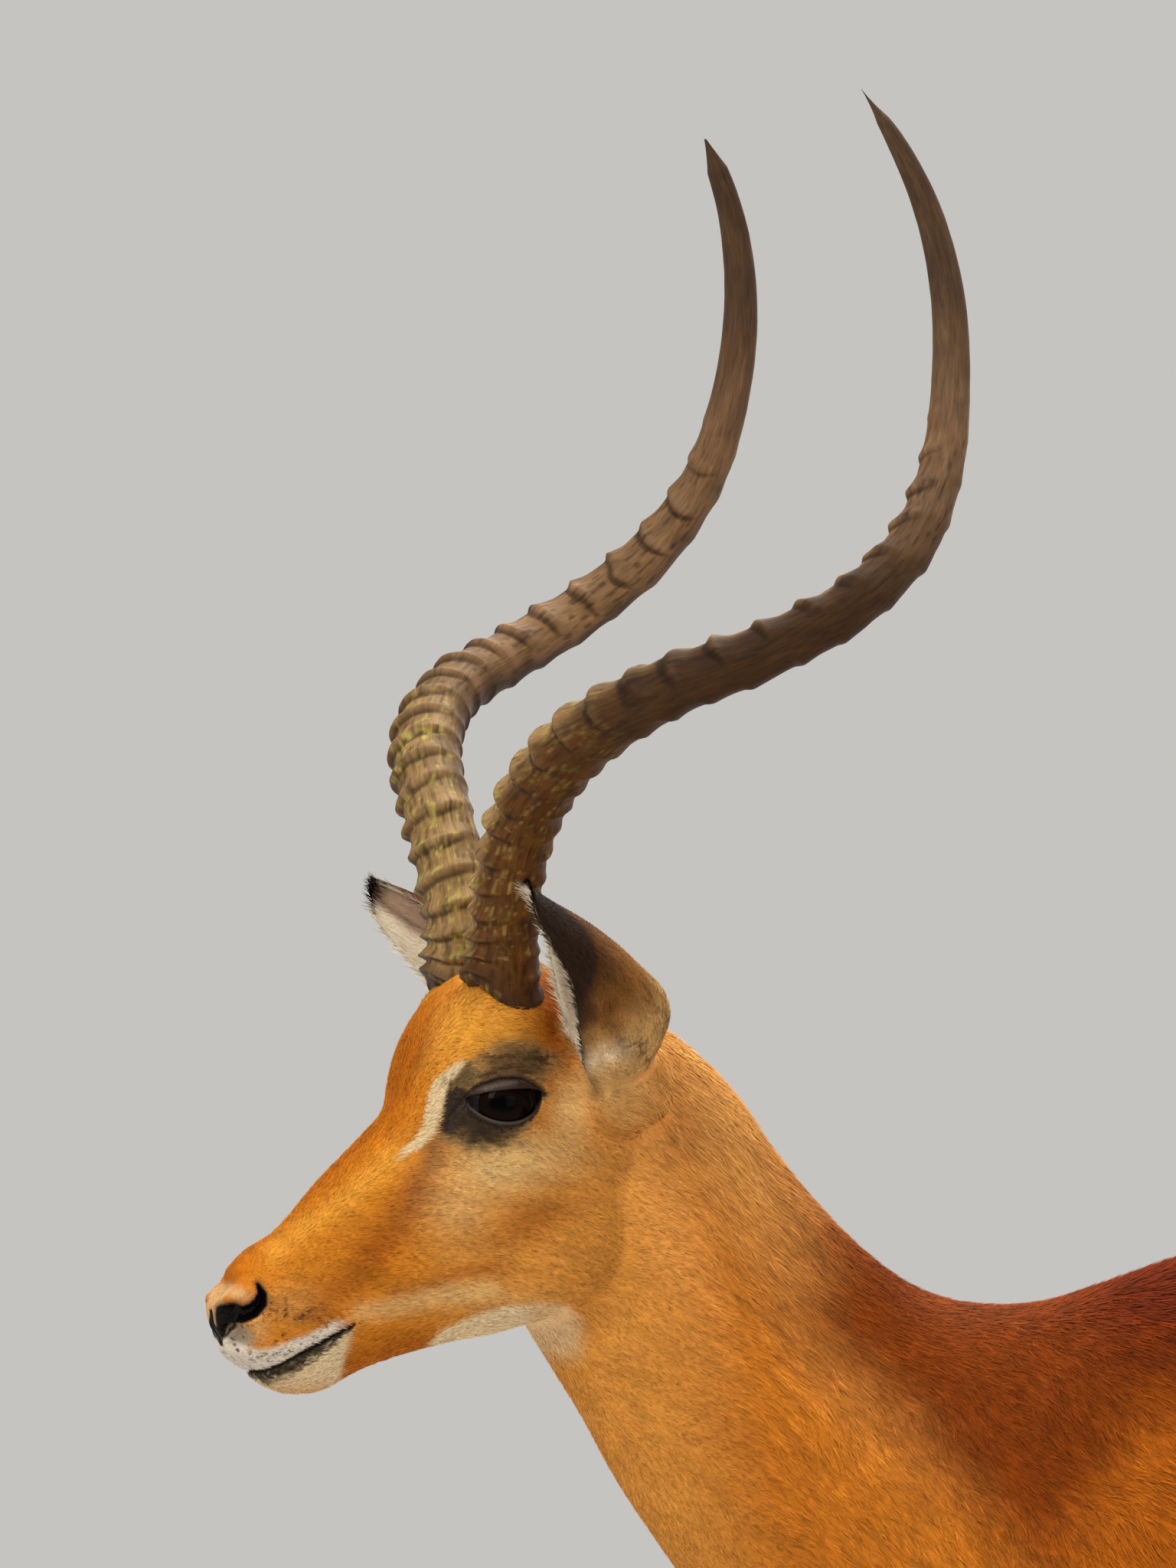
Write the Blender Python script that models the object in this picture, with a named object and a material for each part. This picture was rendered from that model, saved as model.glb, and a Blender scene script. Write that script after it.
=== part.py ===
"""Impala ram, life size, standing with its head turned a little to its left.

Frame while modelling: metres, +Z up, the animal faces -X, its left side is -Y, and the
origin is on the ground under the withers. The last step moves everything so that the
origin is the bottom centre of the whole model's box.

The flesh is one body: lofts of oval sections for the trunk, neck, head, legs and tail, with
a few muscles laid on, fused and smoothed, and then parted with thin cuts. The ears, eyes,
horns and hooves are pieces of their own.
"""

import math
from dataclasses import dataclass

import bmesh
import bpy
import numpy as np
from mathutils import Matrix, Vector

# ---------------------------------------------------------------- driving dimensions
PART_GAP = 0.0006  # thin cut between neighbouring parts
SOCKET_GAP = 0.0009  # room round an ear, eye or horn where it is set in the head
HEAD_YAW = math.radians(20.0)  # the head turns towards the animal's left
HEAD_PIVOT = Vector((-0.3485, -0.030, 0.977))  # where the skull meets the neck

FUSE_VOXEL = 0.003
CARVING_TRIANGLES = 24000  # while the head and neck are cut off
HEAD_TRIANGLES = 1850
NECK_TRIANGLES = 360
BODY_TRIANGLES = 2050  # the trunk, legs and tail together
LEFT, RIGHT = -1.0, 1.0  # the sign of Y on each side

EYE_CENTRE = (0.1090, 0.0415, 0.0050)  # forward, out to the side, up, in the head's frame
EYE_RADIUS = 0.0185
EAR_ROOT = (0.0430, 0.0480, 0.0250)
EAR_AXIS = (0.532, 0.522, 0.665)
EAR_OPENING = (0.846, -0.308, -0.437)
EAR_LENGTH = 0.150
EAR_WALL = 0.0030
EAR_SUNK = -0.11  # the ear starts this share of its length below its root, in the head

HORN_RING_COUNT = 21
HORN_RINGS_END = 0.74  # share of the horn's length that carries rings
HORN_LENGTH = {"left": 1.0, "right": 0.965}  # the right tip is a little worn

FOOT_TOP = 0.036  # mean height of the coronet, where hair gives way to hoof
FOOT_SLOPE = math.radians(-15.0)  # the coronet falls towards the heel
CLAW_LENGTH = 0.060
CLAW_WIDTH = 0.0165
CLEFT = 0.0022  # half the space between the two claws of a foot

# ---------------------------------------------------------------- sections
@dataclass
class Section:
    """One oval across a limb or the trunk.

    top and bottom are (x, z) of the two ends of its long axis: back and belly on the trunk,
    front and rear on a leg. widest is where it is broadest, 0 at the bottom and 1 at the top.
    """

    top: tuple
    bottom: tuple
    half_width: float
    y: float = 0.0
    widest: float = 0.5
    fullness: float = 2.0
    yaw: float = 0.0


NECK_AND_TRUNK = [
    Section((-0.392, 1.036), (-0.446, 0.915), 0.034, -0.036, 0.55, 2.1, 20),
    Section((-0.352, 1.026), (-0.428, 0.868), 0.044, -0.030, 0.52, 2.1, 19),
    Section((-0.316, 0.996), (-0.410, 0.838), 0.050, -0.024, 0.50, 2.1, 16),
    Section((-0.280, 0.947), (-0.394, 0.812), 0.055, -0.017, 0.50, 2.1, 12),
    Section((-0.246, 0.909), (-0.376, 0.779), 0.060, -0.011, 0.50, 2.1, 8),
    Section((-0.203, 0.880), (-0.345, 0.733), 0.068, -0.005, 0.48, 2.1, 4),
    Section((-0.150, 0.876), (-0.305, 0.676), 0.082, 0.000, 0.46, 2.15, 1),
    Section((-0.092, 0.894), (-0.262, 0.622), 0.095, 0.000, 0.45, 2.2),
    Section((-0.030, 0.914), (-0.190, 0.572), 0.103, 0.000, 0.46, 2.2),
    Section((0.030, 0.920), (-0.070, 0.547), 0.110, 0.000, 0.46, 2.2),
    Section((0.110, 0.909), (0.070, 0.543), 0.124, 0.000, 0.46, 2.2),
    Section((0.200, 0.899), (0.190, 0.552), 0.135, 0.000, 0.46, 2.2),
    Section((0.300, 0.900), (0.300, 0.573), 0.134, 0.000, 0.48, 2.2),
    Section((0.390, 0.911), (0.375, 0.606), 0.120, 0.000, 0.55, 2.2),
    Section((0.460, 0.914), (0.450, 0.635), 0.110, 0.000, 0.60, 2.2),
    Section((0.530, 0.897), (0.530, 0.648), 0.096, 0.000, 0.60, 2.2),
    Section((0.588, 0.864), (0.592, 0.672), 0.074, 0.000, 0.58, 2.2),
    Section((0.622, 0.826), (0.626, 0.720), 0.042, 0.000, 0.55, 2.0),
]

FORELEG = [
    Section((-0.070, 0.868), (0.030, 0.862), 0.022, 0.048),
    Section((-0.130, 0.800), (0.040, 0.790), 0.034, 0.070),
    Section((-0.196, 0.715), (0.035, 0.700), 0.041, 0.080),
    Section((-0.205, 0.655), (0.016, 0.632), 0.042, 0.082),
    Section((-0.160, 0.592), (-0.016, 0.578), 0.035, 0.082),
    Section((-0.134, 0.530), (-0.040, 0.525), 0.029, 0.081),
    Section((-0.119, 0.450), (-0.057, 0.450), 0.0215, 0.078),
    Section((-0.111, 0.378), (-0.069, 0.378), 0.0170, 0.076),
    Section((-0.115, 0.338), (-0.068, 0.336), 0.0190, 0.076),
    Section((-0.108, 0.296), (-0.072, 0.296), 0.0150, 0.075),
    Section((-0.104, 0.212), (-0.076, 0.212), 0.0118, 0.074),
    Section((-0.104, 0.140), (-0.075, 0.140), 0.0125, 0.073),
    Section((-0.108, 0.107), (-0.070, 0.102), 0.0165, 0.073),
    Section((-0.121, 0.068), (-0.088, 0.060), 0.0145, 0.073),
    Section((-0.137, 0.042), (-0.094, 0.030), 0.0185, 0.073),
    Section((-0.150, 0.022), (-0.100, 0.010), 0.0190, 0.073),
]

HINDLEG = [
    Section((0.390, 0.850), (0.585, 0.840), 0.038, 0.056),
    Section((0.350, 0.760), (0.626, 0.785), 0.052, 0.066),
    Section((0.322, 0.670), (0.624, 0.700), 0.053, 0.074),
    Section((0.316, 0.600), (0.590, 0.620), 0.046, 0.080),
    Section((0.345, 0.535), (0.550, 0.560), 0.034, 0.086),
    Section((0.410, 0.468), (0.553, 0.495), 0.0245, 0.085),
    Section((0.476, 0.408), (0.566, 0.432), 0.0175, 0.084),
    Section((0.506, 0.362), (0.584, 0.386), 0.0190, 0.083),
    Section((0.522, 0.306), (0.570, 0.314), 0.0160, 0.082),
    Section((0.522, 0.225), (0.554, 0.225), 0.0130, 0.081),
    Section((0.516, 0.145), (0.547, 0.145), 0.0135, 0.080),
    Section((0.508, 0.110), (0.547, 0.105), 0.0170, 0.080),
    Section((0.492, 0.068), (0.525, 0.060), 0.0145, 0.080),
    Section((0.475, 0.042), (0.518, 0.030), 0.0190, 0.080),
    Section((0.462, 0.022), (0.512, 0.010), 0.0190, 0.080),
]

TAIL = [
    Section((0.575, 0.868), (0.580, 0.800), 0.028),
    Section((0.622, 0.850), (0.604, 0.806), 0.025),
    Section((0.658, 0.812), (0.630, 0.792), 0.022),
    Section((0.672, 0.750), (0.642, 0.746), 0.021),
    Section((0.678, 0.680), (0.644, 0.680), 0.024),
    Section((0.680, 0.610), (0.642, 0.612), 0.027),
    Section((0.674, 0.555), (0.640, 0.557), 0.022),
    Section((0.664, 0.512), (0.646, 0.514), 0.010),
    Section((0.657, 0.492), (0.651, 0.494), 0.003),
]

# The head's own frame: x runs forward along the face, z up, and HEAD_YAW turns it.
HEAD = [
    Section((0.2590, -0.1030), (0.2545, -0.1230), 0.0110, 0, 0.50, 2.0),
    Section((0.2550, -0.0940), (0.2440, -0.1395), 0.0195, 0, 0.50, 2.2),
    Section((0.2420, -0.0785), (0.2270, -0.1480), 0.0245, 0, 0.55, 2.3),
    Section((0.2230, -0.0640), (0.2030, -0.1500), 0.0270, 0, 0.60, 2.3),
    Section((0.1960, -0.0340), (0.1740, -0.1375), 0.0300, 0, 0.58, 2.2),
    Section((0.1720, -0.0110), (0.1480, -0.1290), 0.0345, 0, 0.58, 2.2),
    Section((0.1570, 0.0060), (0.1200, -0.1225), 0.0400, 0, 0.60, 2.2),
    Section((0.1525, 0.0270), (0.0940, -0.1180), 0.0450, 0, 0.64, 2.2),
    Section((0.1455, 0.0450), (0.0640, -0.1080), 0.0475, 0, 0.66, 2.3),
    Section((0.1300, 0.0650), (0.0400, -0.0880), 0.0470, 0, 0.68, 2.35),
    Section((0.1060, 0.0775), (0.0230, -0.0600), 0.0445, 0, 0.66, 2.4),
    Section((0.0720, 0.0770), (0.0120, -0.0350), 0.0410, 0, 0.60, 2.2),
    Section((0.0360, 0.0650), (0.0000, -0.0100), 0.0330, 0, 0.50, 2.0),
]

# Masses on each side of the head: (centre, radii), forward, out and up.
HEAD_MASSES = {
    "orbit": ((0.1070, 0.0360, 0.0060), (0.0310, 0.0180, 0.0250)),
    "brow": ((0.1040, 0.0350, 0.0260), (0.0290, 0.0150, 0.0130)),
    "cheek": ((0.0720, 0.0260, -0.0640), (0.0400, 0.0170, 0.0420)),
    "nostril_wing": ((0.2440, 0.0150, -0.1000), (0.0125, 0.0080, 0.0120)),
    "lip": ((0.2230, 0.0150, -0.1240), (0.0230, 0.0110, 0.0085)),
    "horn_stump": ((0.1010, 0.0290, 0.0520), (0.0240, 0.0220, 0.0200)),
    "ear_stump": ((0.0380, 0.0420, 0.0160), (0.0280, 0.0190, 0.0290)),
}

# The horn's middle line in the head's frame, with its radius, from root to tip.
HORN_LINE = [
    ((0.1035, 0.0300, 0.0560), 0.0222),
    ((0.1045, 0.0365, 0.1040), 0.0190),
    ((0.1050, 0.0600, 0.1480), 0.0190),
    ((0.0960, 0.1110, 0.1920), 0.0190),
    ((0.0610, 0.1670, 0.2260), 0.0168),
    ((0.0150, 0.2000, 0.2470), 0.0152),
    ((-0.0300, 0.2090, 0.2720), 0.0146),
    ((-0.0650, 0.2000, 0.3020), 0.0138),
    ((-0.0880, 0.1830, 0.3400), 0.0124),
    ((-0.1000, 0.1680, 0.3900), 0.0108),
    ((-0.1015, 0.1575, 0.4400), 0.0094),
    ((-0.0930, 0.1490, 0.4840), 0.0075),
    ((-0.0765, 0.1410, 0.5220), 0.0048),
    ((-0.0620, 0.1340, 0.5460), 0.0010),
]

# What marks the ram underneath: (centre, radii).
BODY_MASSES = {
    "sheath": ((0.330, 0.0, 0.580), (0.055, 0.020, 0.022)),
    "scrotum": ((0.478, 0.0, 0.622), (0.030, 0.026, 0.040)),
}

# How far each foot stands from its plain place: forward is negative X.
STANCE = {
    "foreleg_left": -0.012,
    "foreleg_right": 0.022,
    "hindleg_left": -0.040,
    "hindleg_right": 0.030,
}

SIDES = ((LEFT, "left"), (RIGHT, "right"))
LEGS = [
    (f"{kind}_{hand}", sections, side)
    for kind, sections in (("foreleg", FORELEG), ("hindleg", HINDLEG))
    for side, hand in SIDES
]

# Each leg is parted from the trunk by a plane that rises outwards: (x, y, z) on it, how
# steeply it rises, and how far the leg reaches before and behind that place.
LEG_CUTS = {
    "foreleg": ((-0.085, 0.028, 0.548), 46.0, 0.135, 0.074),
    "hindleg": ((0.480, 0.020, 0.600), 42.0, 0.168, 0.200),
}

PALETTE = {
    "coat": ((0.55, 0.24, 0.06), 0.8),
    "ear": ((0.32, 0.19, 0.10), 0.8),
    "horn": ((0.10, 0.07, 0.05), 0.55),
    "eye": ((0.012, 0.008, 0.006), 0.08),
    "hoof": ((0.035, 0.030, 0.027), 0.4),
}


# ---------------------------------------------------------------- curves and lofts
def smooth_through(values, positions, count):
    """Values at evenly spaced positions on a smooth curve through the given ones."""
    values = np.asarray(values, float).reshape(len(positions), -1)
    at = np.linspace(positions[0], positions[-1], count)
    slopes = np.gradient(values, positions, axis=0)
    cell = np.clip(np.searchsorted(positions, at) - 1, 0, len(positions) - 2)
    width = np.diff(positions)[cell]
    t = ((at - np.asarray(positions)[cell]) / width)[:, None]
    width = width[:, None]
    return (
        (2 * t**3 - 3 * t**2 + 1) * values[cell]
        + (t**3 - 2 * t**2 + t) * width * slopes[cell]
        + (3 * t**2 - 2 * t**3) * values[cell + 1]
        + (t**3 - t**2) * width * slopes[cell + 1]
    )


def ring_points(section, segments):
    """The points of one oval: round at 2, squarer above, broadest at section.widest."""
    top_x, top_z, low_x, low_z, half_width, y, widest, fullness, yaw = section
    points = []
    for i in range(segments):
        angle = 2 * math.pi * i / segments
        c, s = math.cos(angle), math.sin(angle)
        across = half_width * math.copysign(abs(c) ** (2 / fullness), c)
        lift = math.copysign(abs(s) ** (2 / fullness), s)
        share = widest + lift * ((1 - widest) if lift > 0 else widest)
        x = low_x + (top_x - low_x) * share
        z = low_z + (top_z - low_z) * share
        middle = (top_x + low_x) / 2
        turn = Matrix.Rotation(math.radians(yaw), 3, "Z")
        points.append(turn @ Vector((x - middle, across, 0)) + Vector((middle, y, z)))
    return points


def mesh_from_rings(rings):
    """A closed mesh through rings of equally many points, with a fan at each end."""
    bm = bmesh.new()
    loops = [[bm.verts.new(p) for p in ring] for ring in rings]
    count = len(rings[0])
    for lower, upper in zip(loops, loops[1:]):
        for i in range(count):
            j = (i + 1) % count
            bm.faces.new((lower[i], lower[j], upper[j], upper[i]))
    for loop in (loops[0], loops[-1]):
        centre = sum((v.co for v in loop), Vector()) / count
        hub = bm.verts.new(centre)
        for i in range(count):
            bm.faces.new((loop[i], loop[(i + 1) % count], hub))
    bmesh.ops.recalc_face_normals(bm, faces=bm.faces)
    return bm


def loft(sections, rings, segments, side=RIGHT, place=None):
    """A body through the sections. side mirrors it, and place moves it as a whole."""
    rows = [
        (*s.top, *s.bottom, s.half_width, s.y * side, s.widest, s.fullness, s.yaw)
        for s in sections
    ]
    middles = np.array([[(r[0] + r[2]) / 2, (r[1] + r[3]) / 2] for r in rows])
    steps = np.linalg.norm(np.diff(middles, axis=0), axis=1)
    positions = np.concatenate([[0.0], np.cumsum(steps)])
    smooth = smooth_through(rows, positions, rings)
    bm = mesh_from_rings([ring_points(row, segments) for row in smooth])
    if place is not None:
        bm.transform(place)
        bmesh.ops.recalc_face_normals(bm, faces=bm.faces)
    return bm


def head_point(forward, out, up, side):
    """A place in the head's frame, on the given side, as a place in the model."""
    turn = Matrix.Rotation(HEAD_YAW, 3, "Z")
    return HEAD_PIVOT + turn @ Vector((-forward, out * side, up))


def head_matrix():
    """Carries the head's own frame, with forward as +X, into the model."""
    face_forward = Matrix.Scale(-1, 4, Vector((1, 0, 0)))
    return Matrix.Translation(HEAD_PIVOT) @ Matrix.Rotation(HEAD_YAW, 4, "Z") @ face_forward


def ellipsoid(place, radii, subdivisions=3):
    """An ellipsoid with these half axes, in the given frame."""
    bm = bmesh.new()
    bmesh.ops.create_icosphere(bm, subdivisions=subdivisions, radius=1.0)
    bm.transform(place @ Matrix.Diagonal((*radii, 1.0)))
    return bm


# ---------------------------------------------------------------- objects
def material(name):
    """The plain material of one kind of surface."""
    colour, roughness = PALETTE[name]
    made = bpy.data.materials.get(name) or bpy.data.materials.new(name)
    made.use_nodes = True
    shader = made.node_tree.nodes["Principled BSDF"]
    shader.inputs["Base Color"].default_value = (*colour, 1.0)
    shader.inputs["Roughness"].default_value = roughness
    return made


def add_object(name, bm, surface):
    """A new object of this mesh, shaded smooth."""
    mesh = bpy.data.meshes.new(name)
    bm.to_mesh(mesh)
    bm.free()
    mesh.materials.append(material(surface))
    mesh.shade_smooth()
    made = bpy.data.objects.new(name, mesh)
    bpy.context.scene.collection.objects.link(made)
    return made


def apply_modifiers(obj):
    """Bakes the object's modifiers into its mesh."""
    graph = bpy.context.evaluated_depsgraph_get()
    done = bpy.data.meshes.new_from_object(obj.evaluated_get(graph))
    obj.modifiers.clear()
    obj.data = done


def combine(obj, cutter, operation):
    """One exact Boolean of obj with cutter, applied."""
    step = obj.modifiers.new(operation.lower(), "BOOLEAN")
    step.operation = operation
    step.solver = "EXACT"
    step.object = cutter
    apply_modifiers(obj)


def thin_to(obj, triangles):
    """Collapses edges where the form is plainest, down to about this many triangles."""
    count = sum(len(face.vertices) - 2 for face in obj.data.polygons)
    thin = obj.modifiers.new("thin", "DECIMATE")
    thin.use_collapse_triangulate = True
    thin.ratio = min(1.0, triangles / count)
    apply_modifiers(obj)


def copy_of(obj, name):
    """A second object with its own mesh."""
    made = bpy.data.objects.new(name, obj.data.copy())
    bpy.context.scene.collection.objects.link(made)
    return made


def box_cutter(low, high, place=None, grow=0.0):
    """A box between two corners, in its own frame, to cut with."""
    size = [h - l + 2 * grow for l, h in zip(low, high)]
    centre = Vector([(l + h) / 2 for l, h in zip(low, high)])
    bm = bmesh.new()
    bmesh.ops.create_cube(bm, size=1.0)
    bm.transform(Matrix.Translation(centre) @ Matrix.Diagonal((*size, 1.0)))
    if place is not None:
        bm.transform(place)
    return add_object("cutter", bm, "coat")


def take(name, body, low, high, place=None, surface="coat"):
    """Cuts the part of body inside a box into an object of its own, with a thin gap left."""
    piece = copy_of(body, name)
    inner = box_cutter(low, high, place)
    outer = box_cutter(low, high, place, grow=PART_GAP)
    combine(piece, inner, "INTERSECT")
    combine(body, outer, "DIFFERENCE")
    for cutter in (inner, outer):
        bpy.data.objects.remove(cutter)
    keep_largest(piece)
    piece.data.materials.clear()
    piece.data.materials.append(material(surface))
    return piece


def keep_largest(obj):
    """Drops loose crumbs that a cut leaves, keeping the body with the most faces."""
    bm = bmesh.new()
    bm.from_mesh(obj.data)
    left = set(bm.verts)
    islands = []
    while left:
        stack = [left.pop()]
        island = set(stack)
        while stack:
            for edge in stack.pop().link_edges:
                for vert in edge.verts:
                    if vert in left:
                        left.discard(vert)
                        island.add(vert)
                        stack.append(vert)
        islands.append(island)
    islands.sort(key=len)
    bmesh.ops.delete(bm, geom=[v for i in islands[:-1] for v in i], context="VERTS")
    bm.to_mesh(obj.data)
    bm.free()


# ---------------------------------------------------------------- flesh
def foot_shift(leg, height):
    """How far a leg is moved along X at this height: all at the ground, none at the hip."""
    return STANCE[leg] * min(1.0, max(0.0, (0.62 - height) / 0.62))


def flesh_meshes():
    """Every mass of the flesh, as closed meshes that overlap."""
    yield loft(NECK_AND_TRUNK, 64, 36)
    yield loft(TAIL, 24, 16)
    yield loft(HEAD, 48, 36, place=head_matrix())
    for centre, radii in BODY_MASSES.values():
        yield ellipsoid(Matrix.Translation(centre), radii)
    for side, hand in SIDES:
        for kind, sections in (("foreleg", FORELEG), ("hindleg", HINDLEG)):
            leg = loft(sections, 64, 20, side)
            for vert in leg.verts:
                vert.co.x += foot_shift(f"{kind}_{hand}", vert.co.z)
            yield leg
        for centre, radii in HEAD_MASSES.values():
            turn = Matrix.Rotation(HEAD_YAW, 4, "Z")
            yield ellipsoid(Matrix.Translation(head_point(*centre, side)) @ turn, radii)


def relax(bm, chosen, rounds):
    """Evens out the chosen vertices."""
    verts = [v for v in bm.verts if chosen(v.co)]
    for _ in range(rounds):
        bmesh.ops.smooth_vert(
            bm, verts=verts, factor=0.5, use_axis_x=True, use_axis_y=True, use_axis_z=True
        )


def is_torso(co):
    """Where the legs and neck join the trunk, and creases are wide and soft."""
    return co.z > 0.56 and -0.30 < co.x < 0.60


def in_head_frame(co):
    """(forward, sideways, up) of a place, with sideways along +Y unturned."""
    local = Matrix.Rotation(-HEAD_YAW, 3, "Z") @ (co - HEAD_PIVOT)
    return -local.x, local.y, local.z


def is_jaw_join(co):
    """Where the neck takes up the back of the head."""
    forward, _, up = in_head_frame(co)
    return -0.060 < forward < 0.100 and up < 0.075


def build_flesh():
    """The whole fleshy body as one faceted solid."""
    whole = bmesh.new()
    for bm in flesh_meshes():
        mass = bpy.data.meshes.new("mass")
        bm.to_mesh(mass)
        bm.free()
        whole.from_mesh(mass)
        bpy.data.meshes.remove(mass)
    body = add_object("trunk", whole, "coat")
    fuse = body.modifiers.new("fuse", "REMESH")
    fuse.mode = "VOXEL"
    fuse.voxel_size = FUSE_VOXEL
    apply_modifiers(body)
    bm = bmesh.new()
    bm.from_mesh(body.data)
    relax(bm, is_torso, 40)
    relax(bm, is_jaw_join, 12)
    relax(bm, lambda co: True, 4)
    bmesh.ops.triangulate(bm, faces=bm.faces)
    bm.to_mesh(body.data)
    bm.free()
    body.data.materials.clear()
    body.data.materials.append(material("coat"))
    thin_to(body, CARVING_TRIANGLES)
    return body


# ---------------------------------------------------------------- horns
def horn(side, hand):
    """A ringed lyre horn: proud ridges at even spaces, fading into a smooth tip."""
    count = 3 * HORN_RING_COUNT + 12
    places = np.array([p for p, _ in HORN_LINE])
    steps = np.linalg.norm(np.diff(places, axis=0), axis=1)
    positions = np.concatenate([[0.0], np.cumsum(steps)])
    positions /= positions[-1]
    radii = np.array([r for _, r in HORN_LINE])
    line = smooth_through(np.column_stack([places, radii]), positions, count)
    centres = [head_point(*row[:3], side) for row in line]
    across = Vector((0, 1, 0))
    loops = []
    for i, centre in enumerate(centres):
        share = i / (count - 1)
        if share > HORN_LENGTH[hand]:
            break
        along = (centres[min(i + 1, count - 1)] - centres[max(i - 1, 0)]).normalized()
        across = (across - along * across.dot(along)).normalized()
        other = along.cross(across)
        turn = 2 * math.pi * share * HORN_RING_COUNT / HORN_RINGS_END
        fade = max(0.0, min(1.0, (HORN_RINGS_END - share) * 12))
        size = line[i][3] * (0.97 + 0.10 * fade * (0.5 - 0.5 * math.cos(turn)))
        size *= min(1.0, 0.10 + 30 * max(0.0, HORN_LENGTH[hand] - share))
        angles = [2 * math.pi * k / 8 for k in range(8)]
        loops.append([centre + (across * math.cos(a) + other * math.sin(a)) * size for a in angles])
    return add_object(f"horn_{hand}", mesh_from_rings(loops), "horn")


# ---------------------------------------------------------------- ears
def ear_section(share):
    """(back, depth, half width, wrap) of the ear's cup at this share of its length."""
    at = np.array([0.00, 0.14, 0.42, 0.64, 0.80, 0.92, 1.00])
    back = np.array([0.020, 0.036, 0.032, 0.020, 0.008, 0.001, 0.000])
    depth = np.array([0.038, 0.054, 0.042, 0.024, 0.013, 0.006, 0.001])
    half = np.array([0.016, 0.022, 0.0255, 0.025, 0.021, 0.0135, 0.002])
    wrap = np.radians([140, 135, 112, 98, 90, 84, 80])
    return [float(np.interp(share, at, row)) for row in (back, depth, half, wrap)]


def ear(side, hand):
    """A leaf-shaped cup, open forwards and inwards, with a real wall and a solid root."""
    root, axis, opening = Vector(EAR_ROOT), Vector(EAR_AXIS).normalized(), Vector(EAR_OPENING)
    opening = (opening - axis * opening.dot(axis)).normalized()
    across = axis.cross(opening)
    rows, columns = 12, 7
    rings = []
    for i in range(rows):
        share = EAR_SUNK + (1 - EAR_SUNK) * i / (rows - 1)
        back, depth, half, wrap = ear_section(share)
        middle = root + axis * (EAR_LENGTH * share)
        wall = min(EAR_WALL, 0.4 * half, 0.4 * depth)
        hollow = min(1.0, max(0.0, (share - 0.08) / 0.14))
        spans = [2 * j / (columns - 1) - 1 for j in range(columns)]
        outer = [
            (half * math.sin(wrap * u), depth * (1 - math.cos(wrap * u)) / (1 - math.cos(wrap)))
            for u in spans
        ]
        edge = outer[-1][0] * (1 - wall / half)
        inner = []
        for u, (aside, deep) in zip(reversed(spans), reversed(outer)):
            cup = (aside * (1 - wall / half), deep + wall * (1 - deep / depth))
            inner.append(
                (edge * u * (1 - hollow) + cup[0] * hollow, depth * (1 - hollow) + cup[1] * hollow)
            )
        ring = []
        for aside, deep in outer + inner:
            local = middle + across * aside + opening * (deep - back)
            ring.append(head_point(*local, side))
        rings.append(ring)
    return add_object(f"ear_{hand}", mesh_from_rings(rings), "ear")


# ---------------------------------------------------------------- eyes and hooves
def eye(side, hand):
    """The eyeball."""
    place = Matrix.Translation(head_point(*EYE_CENTRE, side))
    bm = bmesh.new()
    bmesh.ops.create_uvsphere(bm, u_segments=14, v_segments=8, radius=EYE_RADIUS)
    bm.transform(place)
    return add_object(f"eye_{hand}", bm, "eye")


def claw_outline(toe_x, heel_x, width):
    """The outline of one claw from heel to toe and back: (x, how far out from the cleft)."""
    for k in range(8):
        turn = math.pi * k / 7
        along = 0.5 + 0.5 * math.cos(turn)
        toe_in = 0.0035 * (1 - along) ** 2
        yield toe_x + (heel_x - toe_x) * along, max(0.0, width * math.sin(turn) ** 0.75 - toe_in)
    for k in range(1, 5):
        yield toe_x + (heel_x - toe_x) * k / 5, 0.0


def claw(leg, sections, side, inner):
    """One half of a cloven hoof: flat on the ground, straight inside and curved outside."""
    crown = sections[-2]
    away = -side if inner else side
    middle_x = (crown.top[0] + crown.bottom[0]) / 2 + foot_shift(leg, FOOT_TOP)
    heel_x = crown.bottom[0] - 0.007 + foot_shift(leg, 0.0)
    rings = []
    for share in (0.0, 0.12, 0.5, 1.0):
        length = CLAW_LENGTH * (1 - 0.25 * share)
        width = CLAW_WIDTH * (1 - 0.12 * share + 0.25 * min(0.0, share - 0.12))
        back = heel_x + 0.006 * share
        ring = []
        for x, aside in claw_outline(back - length, back, width):
            coronet = FOOT_TOP + math.tan(-FOOT_SLOPE) * (middle_x - x)
            ring.append(Vector((x, crown.y * side + away * (CLEFT + aside), coronet * share)))
        rings.append(ring)
    which = "inner" if inner else "outer"
    return add_object(f"claw_{leg}_{which}", mesh_from_rings(rings), "hoof")


# ---------------------------------------------------------------- parting the flesh
def clear_room(body, piece):
    """Hollows the flesh round a piece that is set in it, leaving a little room round it."""
    room = copy_of(piece, "room")
    bm = bmesh.new()
    bm.from_mesh(room.data)
    for vert in bm.verts:
        vert.co += vert.normal * SOCKET_GAP
    bm.to_mesh(room.data)
    bm.free()
    combine(body, room, "DIFFERENCE")
    bpy.data.objects.remove(room)


def tilted(point, pitch_degrees, yaw_degrees=0.0):
    """A frame at this point, for a cutting box."""
    yaw = Matrix.Rotation(math.radians(yaw_degrees), 4, "Z")
    return Matrix.Translation(point) @ yaw @ Matrix.Rotation(math.radians(pitch_degrees), 4, "Y")


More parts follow.
